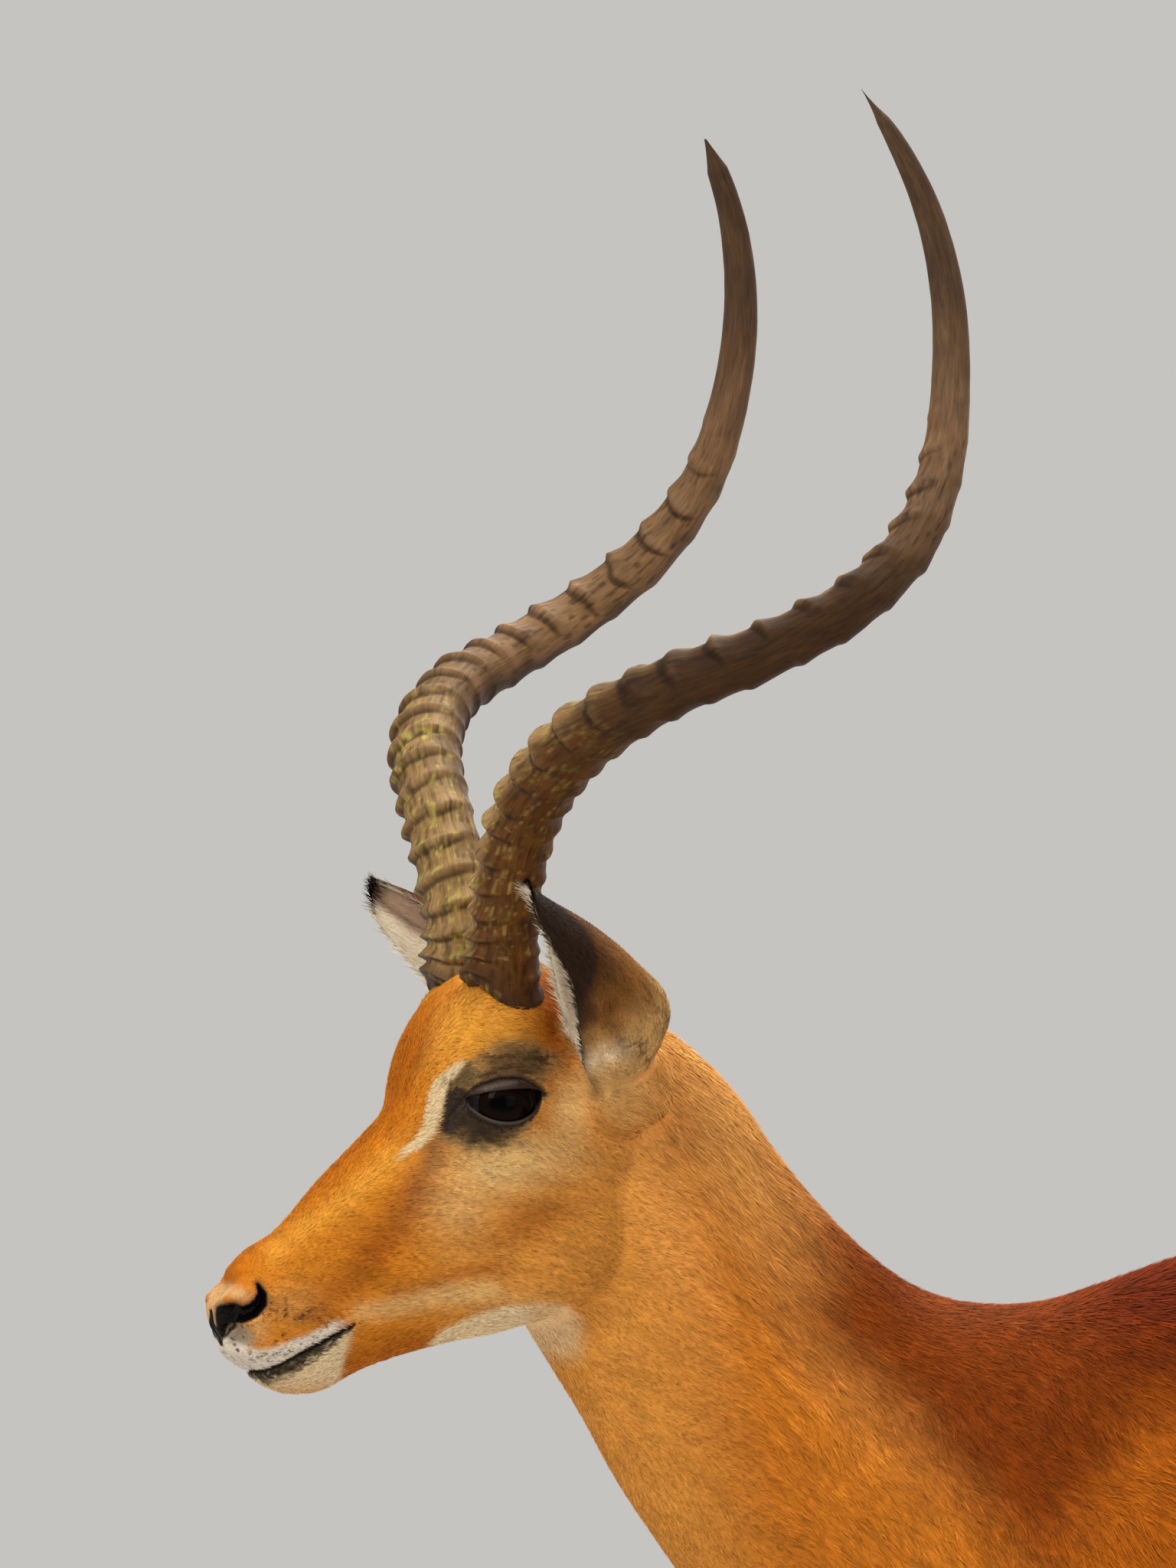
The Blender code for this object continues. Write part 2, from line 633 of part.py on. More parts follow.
def part_flesh(body):
    """Cuts the flesh into the parts that a person would name, and thins each one."""
    nape = tilted((-0.377, -0.03, 0.940), 26.7, 17)
    head = take("head", body, (-0.5, -0.2, -0.25), (0, 0.2, 0.25), nape)
    thin_to(head, HEAD_TRIANGLES)
    shoulder = tilted((-0.238, 0, 0.766), 30.5)
    neck = take("neck", body, (-0.3, -0.2, -0.30), (0, 0.2, 0.25), shoulder)
    thin_to(neck, NECK_TRIANGLES)
    thin_to(body, BODY_TRIANGLES)
    for leg, sections, side in LEGS:
        foot = sections[-2]
        middle = (foot.top[0] + foot.bottom[0]) / 2 + foot_shift(leg, FOOT_TOP)
        coronet = (middle, foot.y * side, FOOT_TOP + PART_GAP)
        place = tilted(coronet, math.degrees(-FOOT_SLOPE))
        below = box_cutter((-0.08, -0.05, -0.10), (0.08, 0.05, 0.0), place)
        combine(body, below, "DIFFERENCE")
        bpy.data.objects.remove(below)
    take("tail", body, (0.0, -0.1, -0.40), (0.2, 0.1, 0.1), tilted((0.629, 0, 0.800), 0.0))
    for leg, _, side in LEGS:
        root, slope, before, behind = LEG_CUTS[leg.split("_")[0]]
        rising = Matrix.Translation((root[0], root[1] * side, root[2]))
        rising[2][1] = math.tan(math.radians(slope)) * side
        low, high = sorted((0.0, 0.30 * side))
        take(leg, body, (-before, low, -0.70), (behind, high, 0.0), rising)


def settle_on_origin():
    """Moves every part so that the bottom centre of the model's box is the origin."""
    parts = list(bpy.context.scene.objects)
    corners = np.array([v.co for part in parts for v in part.data.vertices])
    low, high = corners.min(axis=0), corners.max(axis=0)
    shift = Vector((-(low[0] + high[0]) / 2, -(low[1] + high[1]) / 2, -low[2]))
    for part in parts:
        part.data.transform(Matrix.Translation(shift))


def main():
    """Builds every part and sets the model on its origin."""
    for old in list(bpy.data.objects):
        bpy.data.objects.remove(old)
    part_flesh(build_flesh())
    head = bpy.data.objects["head"]
    for side, hand in SIDES:
        for piece in (horn(side, hand), ear(side, hand), eye(side, hand)):
            clear_room(head, piece)
    for leg, sections, side in LEGS:
        for inner in (True, False):
            claw(leg, sections, side, inner)
    settle_on_origin()


main()
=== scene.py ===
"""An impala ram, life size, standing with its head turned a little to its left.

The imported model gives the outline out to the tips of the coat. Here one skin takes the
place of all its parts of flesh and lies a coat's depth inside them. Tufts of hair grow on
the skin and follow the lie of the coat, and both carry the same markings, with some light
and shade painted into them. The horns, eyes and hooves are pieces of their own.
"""

import logging
import math
from dataclasses import dataclass, field
from enum import Enum

import bpy
import numpy as np
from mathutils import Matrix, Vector
from mathutils.kdtree import KDTree


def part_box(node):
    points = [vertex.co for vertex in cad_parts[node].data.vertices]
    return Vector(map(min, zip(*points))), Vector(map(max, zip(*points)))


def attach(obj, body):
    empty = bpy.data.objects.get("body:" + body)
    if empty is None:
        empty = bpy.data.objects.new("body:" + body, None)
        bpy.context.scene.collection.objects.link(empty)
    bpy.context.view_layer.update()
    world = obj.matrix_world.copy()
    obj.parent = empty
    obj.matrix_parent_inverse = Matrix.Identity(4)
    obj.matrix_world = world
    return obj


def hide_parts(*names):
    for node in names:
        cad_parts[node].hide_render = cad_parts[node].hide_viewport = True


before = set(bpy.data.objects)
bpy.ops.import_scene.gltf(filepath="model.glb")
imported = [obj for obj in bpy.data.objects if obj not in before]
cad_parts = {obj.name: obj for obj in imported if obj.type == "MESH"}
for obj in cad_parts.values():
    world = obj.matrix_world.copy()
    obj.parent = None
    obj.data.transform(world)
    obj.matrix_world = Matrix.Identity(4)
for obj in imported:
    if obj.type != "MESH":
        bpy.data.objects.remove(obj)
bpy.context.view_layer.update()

LOG = logging.getLogger("impala")
Array = np.ndarray
Piece = bpy.types.Object
Material = bpy.types.Material
Tree = bpy.types.NodeTree
BODY = "root"
ROOT_SEED = 7


# ------------------------------------------------------------------ small tools
def linear(hex_colour: str) -> Array:
    """Turns an sRGB colour such as "c87a2c" into linear red, green and blue."""
    parts = np.array([int(hex_colour[i : i + 2], 16) for i in (0, 2, 4)]) / 255
    return np.where(parts <= 0.04045, parts / 12.92, ((parts + 0.055) / 1.055) ** 2.4)


def step(low: float, high: float, value: Array) -> Array:
    """Rises smoothly from 0 at low to 1 at high. With low above high it falls instead."""
    t = np.clip((value - low) / (high - low), 0.0, 1.0)
    return t * t * (3 - 2 * t)


def bump(value: Array, width: float) -> Array:
    """A bell of height 1 round 0, about width wide on each side."""
    return np.exp(-((value / width) ** 2))


def oval(across: Array, up: Array, wide: float, tall: float) -> Array:
    """A soft oval hill of height 1 round 0, with these half sizes."""
    return np.exp(-((across / wide) ** 2) - (up / tall) ** 2)


def mix(base: Array, other: Array, share: Array) -> Array:
    """Blends rows of colours towards other by each row's share."""
    return base + (other - base) * np.clip(share, 0.0, 1.0)[:, None]


def unit(vectors: Array) -> Array:
    """Rows scaled to length 1."""
    return vectors / np.maximum(np.linalg.norm(vectors, axis=-1, keepdims=True), 1e-12)


def noise(places: Array, size: float, seed: int = 0) -> Array:
    """Smooth value noise from -1 to 1.

    Args:
        places: Rows of x, y, z in metres.
        size: The distance over which the noise changes, in metres.
        seed: Picks one of many patterns.

    Returns:
        One value for each row.
    """
    grid = places / size
    cell = np.floor(grid).astype(np.int64)
    t = grid - cell
    t = t * t * (3 - 2 * t)
    total = np.zeros(len(places))
    for corner in range(8):
        bits = np.array([corner & 1, corner >> 1 & 1, corner >> 2 & 1])
        at = cell + bits
        mixed = at[:, 0] * 73856093 ^ at[:, 1] * 19349663 ^ at[:, 2] * 83492791
        mixed = (mixed + seed * 1013904223) & 0x7FFFFFFF
        mixed = (mixed ^ (mixed >> 13)) * 1274126177 & 0x7FFFFFFF
        value = (mixed ^ (mixed >> 16)) / 0x3FFFFFFF - 1.0
        weight = np.prod(np.where(bits, t, 1 - t), axis=1)
        total += value * weight
    return np.clip(total, -1.0, 1.0)


def along_polyline(across: Array, up: Array, points: list[tuple[float, float]]) -> tuple:
    """Distance from a polyline in a plane.

    Args:
        across: First coordinate of each place.
        up: Second coordinate of each place.
        points: The polyline's corners.

    Returns:
        For each place, the distance, the share of the way along, and which side it is on:
        positive to the left of the direction of travel.
    """
    best = np.full(len(across), 1e9)
    share = np.zeros(len(across))
    side = np.zeros(len(across))
    count = len(points) - 1
    for i in range(count):
        (x0, z0), (x1, z1) = points[i], points[i + 1]
        dx, dz = x1 - x0, z1 - z0
        t = np.clip(((across - x0) * dx + (up - z0) * dz) / (dx * dx + dz * dz), 0, 1)
        gap = np.hypot(across - x0 - t * dx, up - z0 - t * dz)
        nearer = gap < best
        best = np.where(nearer, gap, best)
        share = np.where(nearer, (i + t) / count, share)
        side = np.where(nearer, np.sign(dx * (up - z0) - dz * (across - x0)), side)
    return best, share, side


def smooth_through(values: Array, positions: Array, count: int) -> Array:
    """Rows at even spaces on a smooth curve through the given rows.

    Args:
        values: One row for each given position.
        positions: Where each row lies along the curve, rising.
        count: How many rows to return.

    Returns:
        An array of count rows.
    """
    at = np.linspace(positions[0], positions[-1], count)
    slopes = np.gradient(values, positions, axis=0)
    cell = np.clip(np.searchsorted(positions, at) - 1, 0, len(positions) - 2)
    width = np.diff(positions)[cell][:, None]
    t = ((at - positions[cell]) / width[:, 0])[:, None]
    return (
        (2 * t**3 - 3 * t**2 + 1) * values[cell]
        + (t**3 - 2 * t**2 + t) * width * slopes[cell]
        + (3 * t**2 - 2 * t**3) * values[cell + 1]
        + (t**3 - t**2) * width * slopes[cell + 1]
    )


def deselect() -> None:
    """Leaves nothing selected."""
    bpy.ops.object.select_all(action="DESELECT")


def only(obj: Piece) -> None:
    """Selects this object alone and makes it the active one."""
    deselect()
    obj.select_set(True)
    bpy.context.view_layer.objects.active = obj


def vertices(obj: Piece) -> Array:
    """The object's vertices as rows."""
    flat = np.empty(len(obj.data.vertices) * 3)
    obj.data.vertices.foreach_get("co", flat)
    return flat.reshape(-1, 3)


def normals(obj: Piece) -> Array:
    """The object's vertex normals as rows."""
    flat = np.empty(len(obj.data.vertices) * 3)
    obj.data.vertex_normals.foreach_get("vector", flat)
    return flat.reshape(-1, 3)


def set_vertices(obj: Piece, places: Array) -> None:
    """Moves the object's vertices to these rows."""
    obj.data.vertices.foreach_set("co", np.asarray(places, np.float32).ravel())
    obj.data.update()


def apply(obj: Piece, kind: str, **settings: object) -> None:
    """Adds one modifier with its settings and applies it."""
    only(obj)
    modifier = obj.modifiers.new(kind.lower(), kind)
    for name, value in settings.items():
        setattr(modifier, name, value)
    bpy.ops.object.modifier_apply(modifier=modifier.name)


def smooth_part(obj: Piece, chosen: Array, rounds: int) -> None:
    """Evens out the chosen vertices, over this many rounds."""
    group = obj.vertex_groups.new(name="chosen")
    group.add(np.flatnonzero(chosen).tolist(), 1.0, "REPLACE")
    apply(obj, "SMOOTH", factor=0.5, iterations=rounds, vertex_group="chosen")
    obj.vertex_groups.clear()


def paint(obj: Piece, name: str, colours: Array) -> None:
    """Stores linear colours on the vertices under this name."""
    layer = obj.data.color_attributes.new(name, "FLOAT_COLOR", "POINT")
    full = np.ones((len(obj.data.vertices), 4), np.float32)
    full[:, :3] = colours
    layer.data.foreach_set("color", full.ravel())


def keep(obj: Piece, material: Material) -> None:
    """Dresses a finished piece and ties it to the model."""
    obj.data.materials.clear()
    obj.data.materials.append(material)
    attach(obj, BODY)
    LOG.info("%s: %d faces", obj.name, len(obj.data.polygons))


# ------------------------------------------------------------------ anatomy
HEAD_YAW = math.radians(20.0)
HEAD_PIVOT = np.array([-0.3485, -0.03, 0.977])
EYE_CENTRE = np.array([0.109, 0.0415, 0.005])
EYE_RADIUS = 0.0185


@dataclass(frozen=True)
class Section:
    """One oval across a limb or the trunk.

    top and bottom are (x, z) of the ends of its long axis. widest is where it is broadest,
    0 at the bottom and 1 at the top. fullness is 2 for an ellipse and more for a box.
    """

    top: tuple
    bottom: tuple
    half_width: float
    y: float = 0.0
    widest: float = 0.5
    fullness: float = 2.0
    yaw: float = 0.0


def ovals(*rows: tuple) -> list[Section]:
    """Ovals from rows of their values in order."""
    return [Section(*row) for row in rows]


@dataclass
class Place:
    """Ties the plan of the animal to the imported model.

    The plan has its origin on the ground under the withers and faces -X. shift carries it
    into the model's frame.
    """

    shift: Array = field(default_factory=lambda: np.zeros(3))

    def __post_init__(self) -> None:
        """Finds the shift from the left eyeball, whose centre the plan knows."""
        low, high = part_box("eye_left")
        self.shift = (np.array(low) + np.array(high)) / 2 - self.head_out(EYE_CENTRE, -1.0)

    @staticmethod
    def turn() -> Array:
        """The rotation of the head about the vertical."""
        c, s = math.cos(HEAD_YAW), math.sin(HEAD_YAW)
        return np.array([[c, -s, 0], [s, c, 0], [0, 0, 1.0]])

    def head_out(self, local: Array, side: float) -> Array:
        """Carries (forward, out, up) on one side of the head into the model's frame.

        Args:
            local: One row or rows in the head's own frame.
            side: -1 on the animal's left and 1 on its right.

        Returns:
            The same places in the model's frame.
        """
        plain = np.asarray(local, float) * np.array([-1.0, side, 1.0])
        return HEAD_PIVOT + plain @ self.turn().T + self.shift

    def head_in(self, places: Array) -> tuple[Array, Array, Array]:
        """Returns each place's forward, sideways and up in the head's frame."""
        local = (places - self.shift - HEAD_PIVOT) @ self.turn()
        return -local[:, 0], local[:, 1], local[:, 2]

    def way(self, local: tuple, side: float) -> Array:
        """One (forward, out, up) direction on a side of the head, of length 1 in the model's."""
        return unit(self.head_direction(np.array([local]), np.array([side])))[0]

    def head_direction(self, local: Array, side: Array) -> Array:
        """Turns rows of (forward, out, up) directions on each row's side into the model's."""
        plain = local * np.column_stack([-np.ones_like(side), side, np.ones_like(side)])
        return plain @ self.turn().T


NECK_AND_TRUNK = ovals(
    ((-0.392, 1.036), (-0.446, 0.915), 0.034, -0.036, 0.55, 2.1, 20),
    ((-0.352, 1.026), (-0.428, 0.868), 0.044, -0.03, 0.52, 2.1, 19),
    ((-0.316, 0.996), (-0.41, 0.838), 0.05, -0.024, 0.5, 2.1, 16),
    ((-0.28, 0.947), (-0.394, 0.812), 0.055, -0.017, 0.5, 2.1, 12),
    ((-0.246, 0.909), (-0.376, 0.779), 0.06, -0.011, 0.5, 2.1, 8),
    ((-0.203, 0.88), (-0.345, 0.733), 0.068, -0.005, 0.48, 2.1, 4),
    ((-0.15, 0.876), (-0.305, 0.676), 0.082, 0.0, 0.46, 2.15, 1),
    ((-0.092, 0.894), (-0.262, 0.622), 0.095, 0.0, 0.45, 2.2),
    ((-0.03, 0.914), (-0.19, 0.572), 0.103, 0.0, 0.46, 2.2),
    ((0.03, 0.92), (-0.07, 0.547), 0.11, 0.0, 0.46, 2.2),
    ((0.11, 0.909), (0.07, 0.543), 0.124, 0.0, 0.46, 2.2),
    ((0.2, 0.899), (0.19, 0.552), 0.135, 0.0, 0.46, 2.2),
    ((0.3, 0.9), (0.3, 0.573), 0.134, 0.0, 0.48, 2.2),
    ((0.39, 0.911), (0.375, 0.606), 0.12, 0.0, 0.55, 2.2),
    ((0.46, 0.914), (0.45, 0.635), 0.11, 0.0, 0.6, 2.2),
    ((0.53, 0.897), (0.53, 0.648), 0.096, 0.0, 0.6, 2.2),
    ((0.588, 0.864), (0.592, 0.672), 0.074, 0.0, 0.58, 2.2),
    ((0.622, 0.826), (0.626, 0.72), 0.042, 0.0, 0.55, 2.0),
)

FORELEG = ovals(
    ((-0.07, 0.868), (0.03, 0.862), 0.022, 0.048), ((-0.13, 0.8), (0.04, 0.79), 0.034, 0.07),
    ((-0.196, 0.715), (0.035, 0.7), 0.041, 0.08), ((-0.205, 0.655), (0.016, 0.632), 0.042, 0.082),
    ((-0.16, 0.592), (-0.016, 0.578), 0.035, 0.082),
    ((-0.134, 0.53), (-0.04, 0.525), 0.029, 0.081),
    ((-0.119, 0.45), (-0.057, 0.45), 0.0215, 0.078),
    ((-0.111, 0.378), (-0.069, 0.378), 0.017, 0.076),
    ((-0.115, 0.338), (-0.068, 0.336), 0.019, 0.076),
    ((-0.108, 0.296), (-0.072, 0.296), 0.015, 0.075),
    ((-0.104, 0.212), (-0.076, 0.212), 0.0118, 0.074),
    ((-0.104, 0.14), (-0.075, 0.14), 0.0125, 0.073),
    ((-0.108, 0.107), (-0.07, 0.102), 0.0165, 0.073),
    ((-0.121, 0.068), (-0.088, 0.06), 0.0145, 0.073),
    ((-0.137, 0.042), (-0.094, 0.03), 0.0185, 0.073), ((-0.15, 0.022), (-0.1, 0.01), 0.019, 0.073),
)

HINDLEG = ovals(
    ((0.39, 0.85), (0.585, 0.84), 0.038, 0.056), ((0.35, 0.76), (0.626, 0.785), 0.052, 0.066),
    ((0.322, 0.67), (0.624, 0.7), 0.053, 0.074), ((0.316, 0.6), (0.59, 0.62), 0.046, 0.08),
    ((0.345, 0.535), (0.55, 0.56), 0.034, 0.086), ((0.41, 0.468), (0.553, 0.495), 0.0245, 0.085),
    ((0.476, 0.408), (0.566, 0.432), 0.0175, 0.084),
    ((0.506, 0.362), (0.584, 0.386), 0.019, 0.083), ((0.522, 0.306), (0.57, 0.314), 0.016, 0.082),
    ((0.522, 0.225), (0.554, 0.225), 0.013, 0.081), ((0.516, 0.145), (0.547, 0.145), 0.0135, 0.08),
    ((0.508, 0.11), (0.547, 0.105), 0.017, 0.08), ((0.492, 0.068), (0.525, 0.06), 0.0145, 0.08),
    ((0.475, 0.042), (0.518, 0.03), 0.019, 0.08), ((0.462, 0.022), (0.512, 0.01), 0.019, 0.08),
)

TAIL = ovals(
    ((0.575, 0.868), (0.58, 0.8), 0.028), ((0.622, 0.85), (0.604, 0.806), 0.025),
    ((0.658, 0.812), (0.63, 0.792), 0.022), ((0.672, 0.75), (0.642, 0.746), 0.021),
    ((0.678, 0.68), (0.644, 0.68), 0.024), ((0.68, 0.61), (0.642, 0.612), 0.027),
    ((0.674, 0.555), (0.64, 0.557), 0.022), ((0.664, 0.512), (0.646, 0.514), 0.01),
    ((0.657, 0.492), (0.651, 0.494), 0.003),
)

# The head's own frame: the first number of each pair runs forward along the face.
HEAD = ovals(
    ((0.259, -0.103), (0.2545, -0.123), 0.011, 0, 0.5, 2.0),
    ((0.255, -0.094), (0.244, -0.1395), 0.0195, 0, 0.5, 2.2),
    ((0.242, -0.0785), (0.227, -0.148), 0.0245, 0, 0.55, 2.3),
    ((0.223, -0.064), (0.203, -0.15), 0.027, 0, 0.6, 2.3),
    ((0.196, -0.034), (0.174, -0.1375), 0.03, 0, 0.58, 2.2),
    ((0.172, -0.011), (0.148, -0.129), 0.0345, 0, 0.58, 2.2),
    ((0.157, 0.006), (0.12, -0.1225), 0.04, 0, 0.6, 2.2),
    ((0.1525, 0.027), (0.094, -0.118), 0.045, 0, 0.64, 2.2),
    ((0.1455, 0.045), (0.064, -0.108), 0.0475, 0, 0.66, 2.3),
    ((0.13, 0.065), (0.04, -0.088), 0.047, 0, 0.68, 2.35),
    ((0.106, 0.0775), (0.023, -0.06), 0.0445, 0, 0.66, 2.4),
    ((0.072, 0.077), (0.012, -0.035), 0.041, 0, 0.6, 2.2),
    ((0.036, 0.065), (0.0, -0.01), 0.033, 0, 0.5, 2.0),
)

# Masses on each side of the head: (centre, half axes), forward, out and up.
HEAD_MASSES = {
    "orbit": ((0.107, 0.036, 0.006), (0.031, 0.018, 0.025)),
    "brow": ((0.104, 0.035, 0.026), (0.029, 0.015, 0.013)),
    "cheek": ((0.072, 0.026, -0.064), (0.04, 0.017, 0.042)),
    "nostril_wing": ((0.244, 0.015, -0.1), (0.0125, 0.008, 0.012)),
    "lip": ((0.223, 0.015, -0.124), (0.023, 0.011, 0.0085)),
    "horn_stump": ((0.103, 0.029, 0.049), (0.0285, 0.0245, 0.0235)),
    "ear_stump": ((0.038, 0.042, 0.016), (0.028, 0.019, 0.029)),
}

# What marks the ram underneath: (centre, half axes).
BODY_MASSES = {
    "sheath": ((0.33, 0.0, 0.58), (0.055, 0.02, 0.022)),
    "scrotum": ((0.478, 0.0, 0.622), (0.03, 0.026, 0.04)),
}

# How far each foot stands from its plain place: forward is negative X.
STANCE = {
    "foreleg_left": -0.012, "foreleg_right": 0.022, "hindleg_left": -0.04, "hindleg_right": 0.03
}

# The horn's middle line in the head's frame, with its radius, from root to tip.
HORN_LINE = [
    ((0.1035, 0.03, 0.056), 0.0222), ((0.1045, 0.0365, 0.104), 0.019),
    ((0.105, 0.06, 0.148), 0.019), ((0.096, 0.111, 0.192), 0.019), ((0.061, 0.167, 0.226), 0.0168),
    ((0.015, 0.2, 0.247), 0.0152), ((-0.03, 0.209, 0.272), 0.0146), ((-0.065, 0.2, 0.302), 0.0138),
    ((-0.088, 0.183, 0.34), 0.0124), ((-0.1, 0.168, 0.39), 0.0108),
    ((-0.1015, 0.1575, 0.44), 0.0094), ((-0.093, 0.149, 0.484), 0.0075),
    ((-0.0765, 0.141, 0.522), 0.0048), ((-0.062, 0.134, 0.546), 0.001),
]

SIDES = {"left": -1.0, "right": 1.0}


# ------------------------------------------------------------------ lofts
def oval_rings(sections: list[Section], rows: int, columns: int, side: float = 1.0) -> Array:
    """Places on a smooth body through the sections.

    Args:
        sections: The ovals, from one end of the body to the other.
        rows: How many rings to return.
        columns: How many places each ring has.
        side: -1 mirrors the body across the middle plane.

    Returns:
        An array of rows by columns by 3.
    """
    table = np.array(
        [
            (*s.top, *s.bottom, s.half_width, s.y * side, s.widest, s.fullness, s.yaw)
            for s in sections
        ]
    )
    middles = (table[:, 0:2] + table[:, 2:4]) / 2
    steps = np.linalg.norm(np.diff(middles, axis=0), axis=1)
    smooth = smooth_through(table, np.concatenate([[0.0], np.cumsum(steps)]), rows)
    top_x, top_z, low_x, low_z, half, y, widest, fullness, yaw = smooth.T[:, :, None]
    angle = 2 * math.pi * np.arange(columns) / columns
    c, s = np.cos(angle)[None, :], np.sin(angle)[None, :]
    across = half * np.sign(c) * np.abs(c) ** (2 / fullness)
    lift = np.sign(s) * np.abs(s) ** (2 / fullness)
    share = widest + lift * np.where(lift > 0, 1 - widest, widest)
    middle = (top_x + low_x) / 2
    along = low_x + (top_x - low_x) * share - middle
    turn = np.radians(yaw)
    return np.stack(
        [
            middle + along * np.cos(turn) - across * np.sin(turn),
            y + along * np.sin(turn) + across * np.cos(turn), low_z + (top_z - low_z) * share,
        ],
        axis=-1,
    )


def tube(name: str, rings: Array) -> Piece:
    """A closed body through rings of places, made from one grid welded along its seam.

    Args:
        name: The new object's name.
        rings: An array of rows by columns by 3.

    Returns:
        The new object, with a map that runs round it in U and along it in V.
    """
    rows, columns = rings.shape[:2]
    deselect()
    bpy.ops.mesh.primitive_grid_add(x_subdivisions=columns, y_subdivisions=rows - 1, size=1.0)
    obj = bpy.context.object
    obj.name = name
    flat = vertices(obj)
    across = np.rint((flat[:, 0] + 0.5) * columns).astype(int) % columns
    along = np.rint((flat[:, 1] + 0.5) * (rows - 1)).astype(int)
    set_vertices(obj, rings[along, across])
    bpy.ops.object.mode_set(mode="EDIT")
    bpy.ops.mesh.select_all(action="SELECT")
    bpy.ops.mesh.remove_doubles(threshold=1e-6)
    bpy.ops.mesh.select_all(action="SELECT")
    bpy.ops.mesh.fill_holes(sides=0)
    bpy.ops.mesh.select_all(action="SELECT")
    bpy.ops.mesh.normals_make_consistent(inside=False)
    bpy.ops.object.mode_set(mode="OBJECT")
    bpy.ops.object.shade_smooth()
    return obj


def ellipsoid(centre: Array, radii: tuple, yaw: float = 0.0) -> Piece:
    """A round mass at this place, turned about the vertical, with these half axes."""
    deselect()
    bpy.ops.mesh.primitive_ico_sphere_add(
        subdivisions=5, radius=1.0, location=tuple(centre), rotation=(0, 0, yaw), scale=radii
    )
    bpy.ops.object.transform_apply(location=True, rotation=True, scale=True)
    return bpy.context.object


def join(pieces: list, name: str) -> Piece:
    """Joins the pieces into one object of this name.

    Args:
        pieces: What to join.
        name: The new object's name.

    Returns:
        The joined object.
    """
    deselect()
    for piece in pieces:
        piece.select_set(True)
    bpy.context.view_layer.objects.active = pieces[0]
    bpy.ops.object.join()
    pieces[0].name = name
    return pieces[0]


def in_edit_mode(obj: Piece, chosen: Array, *operations: tuple) -> None:
    """Runs edit operators on the chosen vertices.

    Args:
        obj: The object to edit.
        chosen: True for each vertex to select.
        operations: Pairs of an operator and its settings.
    """
    only(obj)
    bpy.ops.object.mode_set(mode="EDIT")
    bpy.ops.mesh.select_mode(type="VERT")
    bpy.ops.mesh.select_all(action="DESELECT")
    bpy.ops.object.mode_set(mode="OBJECT")
    obj.data.vertices.foreach_set("select", chosen)
    bpy.ops.object.mode_set(mode="EDIT")
    for operator, settings in operations:
        operator(**settings)
    bpy.ops.object.mode_set(mode="OBJECT")


